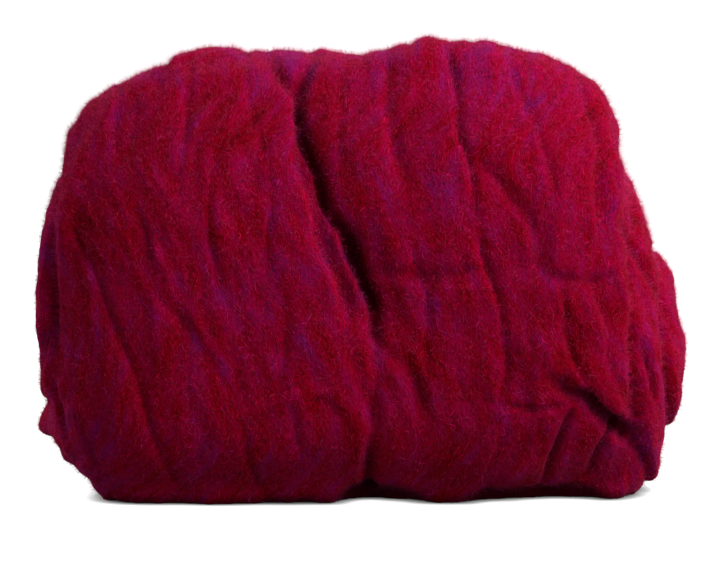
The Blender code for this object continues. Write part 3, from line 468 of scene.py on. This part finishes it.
def neighbour_mean(values, edges, passes, share=1.0):
    """Each point's values drawn towards the mean of its neighbours', that many times."""
    count = len(values)
    ends = np.concatenate([edges[:, 0], edges[:, 1]])
    others = np.concatenate([edges[:, 1], edges[:, 0]])
    valence = np.bincount(ends, minlength=count)[:, None]
    for _ in range(passes):
        sums = [np.bincount(ends, values[others, k], count) for k in range(values.shape[1])]
        values = values + share * (np.stack(sums, axis=1) / valence - values)
    return values


def apply_modifier(piece, kind, **settings):
    modifier = piece.modifiers.new(kind.title(), kind)
    for name, value in settings.items():
        setattr(modifier, name, value)
    bpy.context.view_layer.objects.active = piece
    bpy.ops.object.modifier_apply(modifier=modifier.name)


def wool_skin():
    """The batt's skin, as a closed mesh of small even faces over the solid's own form. Its narrow grooves are
    closed: the skin is pushed out until they meet, and then back in."""
    bpy.ops.object.select_all(action="DESELECT")
    skin = bpy.data.objects.new("rolled_batt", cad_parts["fibre_bundle"].data.copy())
    bpy.context.scene.collection.objects.link(skin)
    skin.data.materials.clear()
    skin.select_set(True)
    bpy.context.view_layer.objects.active = skin
    bpy.ops.object.mode_set(mode="EDIT")
    bpy.ops.mesh.select_all(action="SELECT")
    bpy.ops.mesh.remove_doubles(threshold=WELD * MM)
    bpy.ops.object.mode_set(mode="OBJECT")
    for push in (CLOSING, -CLOSING):
        even_faces(skin, CLOSING_VOXEL)
        apply_modifier(skin, "DISPLACE", strength=push * MM, mid_level=0.0)
    even_faces(skin, SKIN_VOXEL)
    return skin


def even_faces(skin, size):
    """Makes the skin anew from even faces of this size."""
    apply_modifier(skin, "REMESH", mode="VOXEL", voxel_size=size * MM)
    apply_modifier(skin, "SMOOTH", factor=0.5, iterations=SKIN_SMOOTHING)


def smooth_line(rows, step):
    """Points on the smooth curve through the rows, a step apart."""
    rows = np.array(rows, float)
    knots = np.concatenate(([0.0], np.cumsum(np.linalg.norm(np.diff(rows[:, :2], axis=0), axis=1))))
    slopes = np.gradient(rows, knots, axis=0)
    at = np.arange(0.0, knots[-1], step)
    left = np.clip(np.searchsorted(knots, at, side="right") - 1, 0, len(knots) - 2)
    span = (knots[left + 1] - knots[left])[:, None]
    f = (at - knots[left])[:, None] / span
    curve = (2 * f**3 - 3 * f**2 + 1) * rows[left] + (-2 * f**3 + 3 * f**2) * rows[left + 1]
    curve += span * ((f**3 - 2 * f**2 + f) * slopes[left] + (f**3 - f**2) * slopes[left + 1])
    return curve


def cast(tree, start, way):
    """Where a ray meets the skin, in millimetres, or None."""
    return tree.ray_cast(Vector(start), Vector(way))[0]


def front_rays(crease):
    """The rays that find a crease's route on the front, each with its start, its way and the depth there."""
    return [((x, -RAY_START, z), (0.0, 1.0, 0.0), depth) for x, z, depth in smooth_line(crease.route, ROUTE_STEP)]


def round_rays(rib):
    """The same for a line that goes round the roll."""
    rows = [(x, math.radians(angle) * ROUND_SCALE, depth) for x, angle, depth in rib.route]
    rays = []
    for x, around, depth in smooth_line(rows, ROUTE_STEP):
        angle = around / ROUND_SCALE
        out = Vector((0.0, -math.cos(angle), math.sin(angle)))
        rays.append((Vector((x, 0.0, AXIS_HEIGHT)) + RAY_START * out, -out, depth))
    return rays


def end_rays(end):
    """The same for the groove between the roll's turns on one end, from near its middle out to its rim."""
    rays = []
    for share in np.linspace(0.0, 1.0, int(end.turns * TURN_POINTS)):
        angle = math.radians(end.start) + share * end.turns * math.tau
        out = end.first + (end.last - end.first) * share
        out += TURN_WOBBLE * noise.noise(Vector((math.cos(angle), math.sin(angle), share + end.side)))
        middle = end.middle + (end.rim_middle - end.middle) * out**MIDDLE_POWER
        height = middle + end.half_high * out * math.sin(angle)
        back = -end.half_deep * out**DEEP_POWER * math.cos(angle)
        depth = end.depth * min(1.0, TURN_FADE * min(share, 1 - share))
        rays.append(((end.side * RAY_START, back, height), (-end.side, 0.0, 0.0), depth))
    return rays


def find_route(tree, rays):
    """A route on the skin, without the jumps where it crosses an older groove, and the depth at its points."""
    hits = [(cast(tree, start, way), depth) for start, way, depth in rays]
    line = np.array([spot for spot, depth in hits if spot is not None], float)
    window = 2 * ROUTE_REACH + 1
    padded = np.pad(line, ((ROUTE_REACH, ROUTE_REACH), (0, 0)), mode="edge")
    even = sum(padded[k:k + len(line)] for k in range(window)) / window
    even[:, 0] = line[:, 0]
    return even, np.array([depth for spot, depth in hits if spot is not None])


def press(points, normals, line, depths, crease, power):
    """How deep one crease pushes each point in, and how far its left side leans over it. A power below 1 gives
    steep walls, and above 1 a narrow bottom."""
    reach = max(crease.left, crease.right) * PRESS_MARGIN
    low, high = line.min(axis=0) - reach, line.max(axis=0) + reach
    near = np.flatnonzero(((points > low) & (points < high)).all(axis=1))
    depth, lean = np.zeros(len(points)), np.zeros_like(points)
    if not len(near):
        return depth, lean
    heading = unit(np.gradient(line, axis=0))
    away = np.linalg.norm(points[near, None, :] - line[None, :, :], axis=2)
    nearest = away.argmin(axis=1)
    distance = away[np.arange(len(near)), nearest]
    right_side = unit(np.cross(normals[near], heading[nearest]))
    side = np.einsum("ij,ij->i", points[near] - line[nearest], right_side)
    width = np.where(side > 0, crease.right, crease.left)
    valley = np.clip(1 - distance / width, 0.0, 1.0) ** power
    depth[near] = depths[nearest] * valley
    rise = np.clip(-side / crease.left, 0.0, 1.0)
    fall = np.clip(distance / crease.left - 1, 0.0, None)
    share = np.maximum(depths[nearest], 0.0) / max(depths.max(), 1.0)
    lip = rise * rise * (3 - 2 * rise) * np.exp(-(fall**2)) * share
    lean[near] = right_side * (crease.lap * lip)[:, None]
    lean[near] += normals[near] * (LIP_SWELL * crease.lap * lip)[:, None]
    return depth, lean


def press_all(points, normals, creases, power):
    """The points with all the creases pressed in. Each is a crease with its route and depths. Where two meet,
    the deeper one holds."""
    cubes, leans = np.zeros(len(points)), np.zeros_like(points)
    for crease, (line, depths) in creases:
        depth, lean = press(points, normals, line, depths, crease, power)
        cubes += depth**3
        leans += lean
    return points - normals * np.cbrt(cubes)[:, None] + leans


def on_front(depth, height):
    """1 on the middle of the front, less towards the crest and the foot, and 0 on the back."""
    return smooth_step(-depth, *FRONT_BAND) * smooth_step(np.abs(height), *HEIGHT_BAND)


def flow_place(points):
    """Where points lie in the flow of the fibres: across it, and along it, in millimetres."""
    x, y, z = points.T
    height = z - AXIS_HEIGHT
    radius = np.hypot(y, height) / END_RADIUS
    length = np.abs(x) / HALF_LENGTH
    square = (length**CORNER_POWER + radius**CORNER_POWER) ** (1 / CORNER_POWER) + 1e-9
    across = np.sign(x) * (HALF_LENGTH * length / square + END_RADIUS * (1 - np.minimum(radius / square, 1.0)))
    across = np.where(length < 0.5, x, across)
    return across + FRONT_SLANT * height * on_front(y, height), np.arctan2(y, height) * ROUND_SCALE


def flow_heading(points, normals):
    """The way the fibres run at each point of the skin: round the roll, and slanting on the front."""
    arm = points * (0, 1, 1) - (0, 0, AXIS_HEIGHT)
    heading = unit(np.cross((1.0, 0.0, 0.0), arm))
    heading[:, 0] += FRONT_SLANT * on_front(points[:, 1], arm[:, 2])
    heading -= normals * np.einsum("ij,ij->i", heading, normals)[:, None]
    return unit(heading)


def add_waves(values, waves, across, along):
    """The values with noise added that is drawn out along the flow."""
    for wave in waves:
        offset = Vector([wave.seed * step for step in SEED_STEPS])
        rows = zip(across, along)
        heights = [noise.noise(Vector((a / wave.wide, b / wave.long, 0.0)) + offset) for a, b in rows]
        values = values + wave.height * (np.array(heights) * NOISE_GAIN)
    return values


def marl_and_sheen_shade(points):
    """The dye at each point, from 0 to 1, with painted sheen added along the top."""
    shade = add_waves(MARL_MIDDLE, MARL, *flow_place(points))
    x, y, z = points.T
    for patch in PATCHES:
        away = ((x - patch.x) / patch.wide) ** 2 + ((z - patch.z) / patch.high) ** 2
        shade += np.where(y < 0, patch.shade * np.exp(-away), 0.0)
    # painted sheen: more magenta along the top, where the light from above falls
    return shade + TOP_PAINTED_SHEEN * smooth_step(z, *TOP_SHEEN_BAND)


def skin_tree(mesh, points):
    return BVHTree.FromPolygons(points.tolist(), [face.vertices[:] for face in mesh.polygons])


def hollowness(points, normals, edges, passes):
    """How far each point of the skin lies below its smoothed form, in millimetres."""
    plain = neighbour_mean(points, edges, passes)
    return np.einsum("ij,ij->i", plain - points, normals)


def read_form(mesh):
    """The skin's edges, points and smoothed normals."""
    edges = read_rows(mesh.edges, "vertices", 2, np.int32)
    return edges, read_points(mesh), unit(neighbour_mean(read_normals(mesh), edges, FORM_SMOOTHING))


def open_gaps(skin):
    """Evens out the broad hollows and ridges, adds the lumps of the outline and presses the deep gaps into the
    skin. Gives back the skin as it was without the gaps."""
    mesh = skin.data
    edges, points, normals = read_form(mesh)
    broad = hollowness(points, normals, edges, FILL_SMOOTHING)
    front = smooth_step(-normals[:, 1], *FRONT_FACING)
    even = np.where(broad > 0, FILL, SHAVE * front) * broad - DRAWN_IN
    even[points[:, 2] < FOOT_BAND] = 0.0
    for lump in LUMPS:
        away = (points - (lump.x, 0.0, lump.z)) / (lump.size, LUMP_DEPTH, lump.size)
        even += lump.height * np.exp(-(away**2).sum(axis=1))
    points = points + normals * neighbour_mean(even[:, None], edges, FILL_SOFTENING)
    tree = skin_tree(mesh, points)
    gaps = [(gap, find_route(tree, front_rays(gap))) for gap in GAPS]
    write_points(mesh, draw_back_foot(tree, press_all(points, normals, gaps, GAP_POWER)))
    even_faces(skin, SKIN_VOXEL)
    return tree


def draw_back_foot(tree, points):
    """The points with the foot drawn back at the gaps that the table shows under the wool."""
    points = points.copy()
    for gap in FOOT_GAPS:
        x, high, deep = smooth_line(gap.route, ROUTE_STEP).T
        high, deep = (np.interp(points[:, 0], x, values, left=0.0, right=0.0) for values in (high, deep))
        near = np.flatnonzero((deep > 0) & (points[:, 1] < 0) & (points[:, 2] < high))
        for index in near:
            edge = cast(tree, (points[index, 0], -RAY_START, FOOT_EDGE), (0.0, 1.0, 0.0))
            inside = max(points[index, 1] - edge[1], 0.0)
            share = max(1 - inside / (FOOT_FADE * deep[index]), 0.0)
            share *= min(2 * (1 - points[index, 2] / high[index]), 1.0)
            points[index, 1] += deep[index] * share
    return points


def sunk(plain, points):
    """How far each point lies under the plain skin, in millimetres."""
    depths = np.zeros(len(points))
    for index, point in enumerate(points):
        point = Vector(point)
        spot, normal = plain.find_nearest(point)[:2]
        depths[index] = (spot - point).dot(normal)
    return np.maximum(depths, 0.0)


def press_creases(skin):
    """Presses the creases, the ribs, the end turns and the carded relief into the skin."""
    mesh = skin.data
    edges, points, normals = read_form(mesh)
    tree = skin_tree(mesh, points)
    pairs = ((CREASES, front_rays), (RIBS, round_rays), (END_TURNS, end_rays))
    creases = [(crease, find_route(tree, rays(crease))) for table, rays in pairs for crease in table]
    swell = add_waves(0.0, RELIEF, *flow_place(points))
    points = press_all(points, normals, creases, CREASE_POWER) + normals * swell[:, None]
    points = neighbour_mean(points, edges, CREASE_SMOOTHING, CREASE_SOFTNESS)
    low = points[:, 2] < FOOT_HEIGHT
    points[low, 2] = 0.0
    write_points(mesh, points)
    return edges


def flow_map(mesh, points):
    """Unrolls the skin into its colour map: across the flow one way, and along it the other."""
    across, along = flow_place(points)
    corners = read_rows(mesh.loops, "vertex_index", 1, np.int32)[:, 0]
    starts = read_rows(mesh.polygons, "loop_start", 1, np.int32)[:, 0]
    u, v = across[corners], along[corners]
    face = np.repeat(np.arange(len(starts)), np.diff(np.append(starts, len(corners))))
    first = v[starts][face]
    turn = math.tau * ROUND_SCALE
    v = v - turn * np.round((v - first) / turn)
    layer = mesh.uv_layers.new(name=MAP_NAME)
    layer.data.foreach_set("uv", np.stack([0.5 + u / FLOW_SPAN, 0.5 + v / FLOW_SPAN], axis=1).ravel())


def add_values(mesh, name, values):
    mesh.attributes.new(name, "FLOAT", "POINT").data.foreach_set("value", values.astype(np.float32))


def turned(heading, normals, degrees):
    """The heading turned about the skin's normal."""
    angle = np.radians(degrees)[:, None]
    return heading * np.cos(angle) + np.cross(normals, heading) * np.sin(angle)


Skin = namedtuple("Skin", "mesh tree points normals hollow")


def scatter(draws, skin, count, low_share=1.0):
    """Evenly scattered places on the skin, thinner in the hollows, and none on the foot. Where the skin faces
    down there are only low_share of them. Also their normals, and how deep in a hollow they are."""
    skin.mesh.calc_loop_triangles()
    corners = read_rows(skin.mesh.loop_triangles, "vertices", 3, np.int32)
    a, b, c = (skin.points[corners[:, k]] for k in range(3))
    area = np.linalg.norm(np.cross(b - a, c - a), axis=1)
    thin = smooth_step(skin.hollow[corners].mean(axis=1), *THIN_SPAN)
    area *= thin * (1 - THINNEST) + THINNEST
    up = smooth_step(skin.normals[corners, 2].mean(axis=1), *DOWN_SPAN)
    area *= low_share + (1 - low_share) * up
    area[(skin.points[corners, 2] < BARE_FOOT).any(axis=1)] = 0.0
    chosen = draws.choice(len(corners), count, p=area / area.sum())
    weights = draws.dirichlet((1.0, 1.0, 1.0), count)
    chosen = corners[chosen]
    spots = np.einsum("ij,ijk->ik", weights, skin.points[chosen])
    ups = unit(np.einsum("ij,ijk->ik", weights, skin.normals[chosen]))
    return spots, ups, np.einsum("ij,ij->i", weights, skin.hollow[chosen])


def snap(tree, guesses):
    """The nearest places on the skin, with their normals."""
    spots, normals = np.empty_like(guesses), np.empty_like(guesses)
    for index, guess in enumerate(guesses):
        spots[index], normals[index] = tree.find_nearest(Vector(guess))[:2]
    return spots, normals


def fibre_paths(draws, tree, spots, normals, kind):
    """The path of each fibre along the skin: along the flow, with a crimp."""
    count = len(spots)
    length = kind.length * draws.uniform(*LENGTHS, count)
    step = (length / (kind.points - 1))[:, None]
    heading = turned(flow_heading(spots, normals), normals, draws.normal(0.0, kind.spread, count))
    heading *= np.where(draws.random(count) < 0.5, 1.0, -1.0)[:, None]
    bend, crimp = draws.normal(0.0, kind.crimp * BEND, count), draws.normal(0.0, kind.crimp, count)
    path, ups = [spots], [normals]
    for k in range(kind.points - 1):
        turn = bend + crimp * (-1) ** k + draws.normal(0.0, kind.crimp * UNEVEN_CRIMP, count)
        heading = turned(heading, ups[-1], turn)
        spot, up = snap(tree, path[-1] + heading * step)
        heading = unit(spot - path[-1])
        heading = unit(heading - up * np.einsum("ij,ij->i", heading, up)[:, None])
        path.append(spot)
        ups.append(up)
    return np.stack(path, axis=1), np.stack(ups, axis=1)


def arch(points):
    """From 0 up to 1 and back down, over this many points."""
    return np.sin(np.linspace(0.0, math.pi, points))


def fibre_mesh(kind, paths, ups, radii, shades, lights):
    """One mesh of thin three-sided fibres that taper to a point at both ends. The colour map has a small mark
    for each, which its shade places one way and its brightness the other."""
    count, points = paths.shape[:2]
    along = unit(np.gradient(paths, axis=1))
    aside = unit(np.cross(ups, along))
    above = np.cross(along, aside)
    rings = points - 2
    taper = arch(points)[1:-1] ** 0.5
    size = (radii[:, None] * taper)[:, :, None, None]
    ring = paths[:, 1:-1, None, :] + size * (
        np.cos(CORNERS) * aside[:, 1:-1, None, :] + kind.flat * np.sin(CORNERS) * above[:, 1:-1, None, :])
    body = np.concatenate([paths[:, :1], ring.reshape(count, rings * 3, 3), paths[:, -1:]], axis=1)
    last = rings * 3 + 1
    faces, marks = [], []
    for k in range(3):
        here, after = k, (k + 1) % 3
        faces.append((0, 1 + after, 1 + here))
        marks.append(((k + 0.5, 0), (k + 1, 1), (k, 1)))
        for r in range(rings - 1):
            low, high = 1 + 3 * r, 4 + 3 * r
            faces.append((low + here, low + after, high + after))
            marks.append(((k, r + 1), (k + 1, r + 1), (k + 1, r + 2)))
            faces.append((low + here, high + after, high + here))
            marks.append(((k, r + 1), (k + 1, r + 2), (k, r + 2)))
        tail = 1 + 3 * (rings - 1)
        faces.append((tail + here, tail + after, last))
        marks.append(((k, rings), (k + 1, rings), (k + 0.5, rings + 1)))
    return marked_mesh(kind.name, body, faces, np.array(marks, float) / (3, points), shades, lights)


def nap_mesh(nap, roots, tips, ups, shades, lights):
    """One mesh of short three-sided spikes, with the same kind of colour map."""
    way = unit(tips - roots)
    aside = unit(np.cross(way, ups + OFF_AXIS))
    above = np.cross(way, aside)
    foot = np.cos(CORNERS) * aside[:, None, :] + np.sin(CORNERS) * above[:, None, :]
    foot = roots[:, None, :] + 0.5 * nap.thick * foot
    body = np.concatenate([foot, tips[:, None, :]], axis=1)
    faces = ((0, 1, 3), (1, 2, 3), (2, 0, 3), (2, 1, 0))
    marks = np.array([((0, 0), (1, 0), (0.5, 1))] * len(faces), float)
    return marked_mesh(nap.name, body, faces, marks, shades, lights)


def marked_mesh(name, body, faces, marks, shades, lights):
    """A mesh of many small bodies with the same faces, above the table, each with its own mark in the colour
    map."""
    body[:, :, 2] = np.maximum(body[:, :, 2], CLEARANCE)
    count, each = body.shape[:2]
    corner = (np.array(faces)[None, :, :] + each * np.arange(count)[:, None, None]).reshape(-1)
    u = shades[:, None, None] + MARK * (marks[None, :, :, 0] - 0.5)
    v = lights[:, None, None] + MARK * (marks[None, :, :, 1] - 0.5)
    mesh = bpy.data.meshes.new(name)
    mesh.vertices.add(count * each)
    mesh.vertices.foreach_set("co", (body * MM).ravel())
    mesh.loops.add(len(corner))
    mesh.loops.foreach_set("vertex_index", corner.astype(np.int32))
    mesh.polygons.add(count * len(faces))
    mesh.polygons.foreach_set("loop_start", np.arange(0, len(corner), 3, dtype=np.int32))
    mesh.update(calc_edges=True)
    mesh.uv_layers.new(name=MAP_NAME).data.foreach_set("uv", np.stack([u, v], axis=-1).ravel())
    mesh.shade_smooth()
    return mesh


def add_node(tree, kind, inputs=(), **settings):
    """A new node with these settings. Each of its inputs is given a value, or is linked to another's output."""
    node = tree.nodes.new("ShaderNode" + kind)
    for name, value in settings.items():
        setattr(node, name, value)
    for name, value in dict(inputs).items():
        if isinstance(value, bpy.types.NodeSocket):
            tree.links.new(value, node.inputs[name])
        else:
            node.inputs[name].default_value = value
    return node


def add_math(tree, operation, first, second):
    return add_node(tree, "Math", {0: first, 1: second}, operation=operation).outputs["Value"]


def add_spread(tree, value, span, low, high):
    """The value spread from the span to between low and high."""
    inputs = {"Value": value, "From Min": span[0], "From Max": span[1], "To Min": low, "To Max": high}
    return add_node(tree, "MapRange", inputs).outputs["Result"]


def new_group(name, inputs, output, kind):
    """A new node group, with its start and its end."""
    group = bpy.data.node_groups.new(name, "ShaderNodeTree")
    for socket in inputs:
        group.interface.new_socket(socket, in_out="INPUT", socket_type="NodeSocketFloat")
    group.interface.new_socket(output, in_out="OUTPUT", socket_type=kind)
    return group, group.nodes.new("NodeGroupInput"), group.nodes.new("NodeGroupOutput")


def dye_group():
    """The wool's dyes: a shade from 0 to 1 gives a colour, which Light makes brighter or darker."""
    group, start, end = new_group("dyed_wool", ("Shade", "Light"), "Color", "NodeSocketColor")
    ramp = add_node(group, "ValToRGB", {"Fac": start.outputs["Shade"]})
    ramp.color_ramp.interpolation = "EASE"
    stops = ramp.color_ramp.elements
    while len(stops) < len(DYES):
        stops.new(0.5)
    for stop, dye in zip(stops, DYES):
        stop.position = dye.place
        stop.color = dye.colour
    inputs = {0: ramp.outputs["Color"], "Scale": start.outputs["Light"]}
    bright = add_node(group, "VectorMath", inputs, operation="SCALE")
    group.links.new(bright.outputs["Vector"], end.inputs["Color"])
    return group


def strand_group():
    """Fine strands along the flow: noise on the skin's own map, drawn out along the fibres."""
    group, start, end = new_group("carded_strands", ("Across", "Along", "Detail"), "Strand", "NodeSocketFloat")
    place = add_node(group, "UVMap", uv_map=MAP_NAME)
    scale = add_node(group, "CombineXYZ", {"X": start.outputs["Across"], "Y": start.outputs["Along"]})
    inputs = {0: place.outputs["UV"], 1: scale.outputs["Vector"]}
    flow = add_node(group, "VectorMath", inputs, operation="MULTIPLY")
    inputs = {"Vector": flow.outputs["Vector"], "Scale": 1.0, "Detail": start.outputs["Detail"],
              "Roughness": 0.6, "Distortion": 0.6}
    group.links.new(add_node(group, "TexNoise", inputs).outputs["Fac"], end.inputs["Strand"])
    return group


def wool_shader(name):
    """A new material with a dull wool shader, its node tree and its shader."""
    material = bpy.data.materials.new(name)
    material.use_nodes = True
    shader = material.node_tree.nodes["Principled BSDF"]
    for socket, value in WOOL.items():
        shader.inputs[socket].default_value = value
    return material, material.node_tree, shader


def skin_material(dyes, strands):
    """Carded wool seen as a whole: the marl of dyes, fine strands, and painted shade that darkens the colour in
    creases and gaps.
    """
    material, tree, shader = wool_shader("carded_wool_skin")
    # the marl, with painted sheen along the top
    marl = add_node(tree, "Attribute", attribute_name="marl").outputs["Fac"]
    hollow = add_node(tree, "Attribute", attribute_name="hollow").outputs["Fac"]
    fine, coarse = (add_node(tree, "Group", scale, node_tree=strands).outputs["Strand"]
                    for scale in (FINE_STRANDS, COARSE_STRANDS))
    shift = add_spread(tree, coarse, STRAND_SPAN, -COARSE_SHIFT, COARSE_SHIFT)
    grain = add_spread(tree, fine, STRAND_SPAN, -FINE_SHIFT, FINE_SHIFT)
    shade = add_math(tree, "ADD", add_math(tree, "ADD", marl, shift), grain)
    light = add_spread(tree, fine, STRAND_SPAN, *STRAND_LIGHT)
    # painted shade: the colour darkens with the depth of the hollow
    depth = add_spread(tree, hollow, PAINTED_SHADE_SPAN, 1.0, 1 - PAINTED_SHADE_SHARE)
    inputs = {"Shade": shade, "Light": add_math(tree, "MULTIPLY", light, depth)}
    dye = add_node(tree, "Group", inputs, node_tree=dyes)
    tree.links.new(dye.outputs["Color"], shader.inputs["Base Color"])
    bump = add_node(tree, "Bump", {"Strength": BUMP, "Distance": BUMP_HEIGHT * MM, "Height": fine})
    tree.links.new(bump.outputs["Normal"], shader.inputs["Normal"])
    return material


def fibre_material(name, dyes, pale):
    """Single fibres: the dye and its brightness come from the fibre's place in its colour map. Fibres that stand
    free are paler, because the light shows through them."""
    material, tree, shader = wool_shader(name)
    place = add_node(tree, "UVMap", uv_map=MAP_NAME)
    parts = add_node(tree, "SeparateXYZ", {"Vector": place.outputs["UV"]})
    light = add_spread(tree, parts.outputs["Y"], (0.0, 1.0), DULLEST, BRIGHTEST)
    dye = add_node(tree, "Group", {"Shade": parts.outputs["X"], "Light": light}, node_tree=dyes)
    blend = add_node(tree, "Mix", data_type="RGBA")
    blend.inputs[0].default_value = pale
    tree.links.new(dye.outputs["Color"], blend.inputs[6])
    blend.inputs[7].default_value = PALE_HAIR
    tree.links.new(blend.outputs[2], shader.inputs["Base Color"])
    return material


def shade_and_light(draws, spots, depths):
    """The shade of each fibre, about that of the marl where it lies, and its brightness: a few shine, and those
    in a hollow are darkened as painted shade."""
    count = len(spots)
    shades = marl_and_sheen_shade(spots) + draws.normal(0.0, SHADE_SPREAD, count)
    shine = np.where(draws.random(count) < SHINING, draws.uniform(*SHINE, count), 0.0)
    lights = draws.normal(LIGHT_MIDDLE, LIGHT_SPREAD, count) + shine
    # painted shade: fibres deep in a hollow are darkened
    lights = lights * (1 - PAINTED_SHADE_SHARE * smooth_step(depths, *PAINTED_SHADE_SPAN))
    return np.clip(shades, 0.02, 0.98), np.clip(lights, 0.04, 0.98)


def finish_piece(piece, material):
    piece.data.materials.append(material)
    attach(piece, "root")
    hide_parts("fibre_bundle")


def add_piece(kind, mesh, dyes, pale=0.0):
    piece = bpy.data.objects.new(kind.name, mesh)
    bpy.context.scene.collection.objects.link(piece)
    finish_piece(piece, fibre_material(kind.name + "_wool", dyes, pale))


def add_lying_fibres(draws, skin, dyes):
    """The fibres that lie on the skin, one piece for each dye."""
    spots, ups, depths = scatter(draws, skin, sum(kind.count for kind in LYING))
    shades, lights = shade_and_light(draws, spots, depths)
    order = np.argsort(shades)
    for kind in LYING:
        chosen, order = order[:kind.count], order[kind.count:]
        paths, normal = fibre_paths(draws, skin.tree, spots[chosen], ups[chosen], kind)
        height = draws.uniform(0.0, kind.lift, kind.count)[:, None] * arch(kind.points) + LIFTED
        paths = paths + normal * height[:, :, None]
        radii = 0.5 * kind.thick * draws.uniform(*LYING_RADII, kind.count)
        add_piece(kind, fibre_mesh(kind, paths, normal, radii, shades[chosen], lights[chosen]), dyes)


def add_standing_hairs(draws, skin, dyes):
    """The long hairs that stand off the skin with one end, or with their middle as a loop."""
    kind = STANDING
    spots, ups, depths = scatter(draws, skin, kind.count, LOW_SHARE)
    shades, lights = shade_and_light(draws, spots, depths)
    paths, normal = fibre_paths(draws, skin.tree, spots, ups, kind)
    rise = np.linspace(0.0, 1.0, kind.points) ** HAIR_POWER
    looped = (draws.random(kind.count) < LOOPED)[:, None]
    reach = kind.lift * draws.gamma(2.0, 0.5, kind.count).clip(*HAIR_REACH)
    paths = paths + normal * (reach[:, None] * np.where(looped, arch(kind.points), rise))[:, :, None]
    radii = 0.5 * kind.thick * draws.uniform(*HAIR_RADII, kind.count)
    add_piece(kind, fibre_mesh(kind, paths, normal, radii, shades, lights), dyes, PALE)


def add_nap(draws, skin, nap, dyes):
    """The short ends of fibres that stand out of the wool."""
    roots, ups, depths = scatter(draws, skin, nap.count, LOW_SHARE)
    shades, lights = shade_and_light(draws, roots, depths)
    side = unit(np.cross(ups, draws.normal(size=roots.shape)))
    lean = np.radians(draws.uniform(0.0, nap.lean, nap.count))[:, None]
    reach = nap.shortest + (nap.longest - nap.shortest) * draws.random(nap.count) ** NAP_POWER
    tips = roots + (ups * np.cos(lean) + side * np.sin(lean)) * reach[:, None]
    add_piece(nap, nap_mesh(nap, roots - ROOTED * ups, tips, ups, shades, lights), dyes, nap.pale)


def dress_bundle():
    """Makes the skin of the batt, and then all that lies and stands on it."""
    piece = wool_skin()
    plain = open_gaps(piece)
    edges = press_creases(piece)
    mesh = piece.data
    points, normals = read_points(mesh), read_normals(mesh)
    # How deep each point lies in a hollow or gap: fibres grow thinner there, and the wool's colour darkens as
    # painted shade
    hollow = np.maximum(hollowness(points, normals, edges, HOLLOW_SMOOTHING), sunk(plain, points))
    # the marl, with painted sheen along the top
    add_values(mesh, "marl", marl_and_sheen_shade(points))
    add_values(mesh, "hollow", hollow)
    flow_map(mesh, points)
    mesh.shade_smooth()
    dyes = dye_group()
    finish_piece(piece, skin_material(dyes, strand_group()))
    draws = np.random.default_rng(SEED)
    skin = Skin(mesh, skin_tree(mesh, points), points, normals, hollow)
    add_lying_fibres(draws, skin, dyes)
    add_standing_hairs(draws, skin, dyes)
    for nap in NAPS:
        add_nap(draws, skin, nap, dyes)


def add_camera():
    tilt = math.radians(CAMERA_ELEVATION)
    back = Vector((0.0, -math.cos(tilt), math.sin(tilt))) * CAMERA_DISTANCE
    bpy.ops.object.camera_add(location=Vector(CAMERA_AIM) + back, rotation=(math.pi / 2 - tilt, 0.0, 0.0))
    camera = bpy.context.object
    camera.name = "photo_camera"
    camera.data.sensor_fit = "HORIZONTAL"
    camera.data.angle = 2 * math.atan(VIEW_HALF_WIDTH / CAMERA_DISTANCE)
    camera.data.clip_start, camera.data.clip_end = CAMERA_CLIP
    bpy.context.scene.camera = camera


def show_camera(tree, lit, seen, output):
    """Gives the output one shader for the scene's light, and another for what the camera sees."""
    rays = add_node(tree, "LightPath")
    mix = add_node(tree, "MixShader", {"Fac": rays.outputs["Is Camera Ray"], 1: lit, 2: seen})
    tree.links.new(mix.outputs["Shader"], tree.nodes[output].inputs["Surface"])


def add_table():
    """A plain white table that goes on past the picture's edge, with only a faint shadow at the wool's foot."""
    bpy.ops.mesh.primitive_plane_add(size=TABLE_SIZE, location=(0.0, 0.0, -TABLE_GAP))
    table = bpy.context.object
    table.name = "white_table"
    material = bpy.data.materials.new("matt_white_table")
    material.use_nodes = True
    tree = material.node_tree
    tree.nodes.remove(tree.nodes["Principled BSDF"])
    paper = add_node(tree, "BsdfDiffuse", {"Color": TABLE_GREY}).outputs["BSDF"]
    shade = add_node(tree, "AmbientOcclusion", {"Distance": SHADOW_REACH}, samples=SHADOW_SAMPLES)
    glow = add_node(tree, "Emission", {"Strength": shade.outputs["AO"]})
    seen = add_node(tree, "AddShader", {0: paper, 1: glow.outputs["Emission"]})
    show_camera(tree, paper, seen.outputs["Shader"], "Material Output")
    table.data.materials.append(material)


def add_soft_box(box):
    """A soft box that stands this way and far from the wool's middle, and faces it."""
    way = Vector(box.way).normalized()
    place = Vector((0.0, 0.0, AXIS_HEIGHT * MM)) + box.distance * way
    bpy.ops.object.light_add(type="AREA", location=place)
    lamp = bpy.context.object
    lamp.name = box.name
    lamp.rotation_euler = (-way).to_track_quat("-Z", "Y").to_euler()
    lamp.data.shape = "RECTANGLE"
    lamp.data.size, lamp.data.size_y = box.size
    lamp.data.energy = box.power
    lamp.visible_camera = False


def add_room():
    """A pale room, which the camera sees as white."""
    world = bpy.data.worlds.new("pale_room")
    bpy.context.scene.world = world
    world.use_nodes = True
    tree = world.node_tree
    tree.nodes.remove(tree.nodes["Background"])
    room, seen = (add_node(tree, "Background", {"Color": WHITE, "Strength": strength}).outputs["Background"]
                  for strength in (ROOM_LIGHT, ROOM_SEEN))
    show_camera(tree, room, seen, "World Output")


add_camera()
dress_bundle()
add_table()
for soft_box in SOFT_BOXES:
    add_soft_box(soft_box)
add_room()
bpy.context.scene.view_settings.view_transform = "Standard"
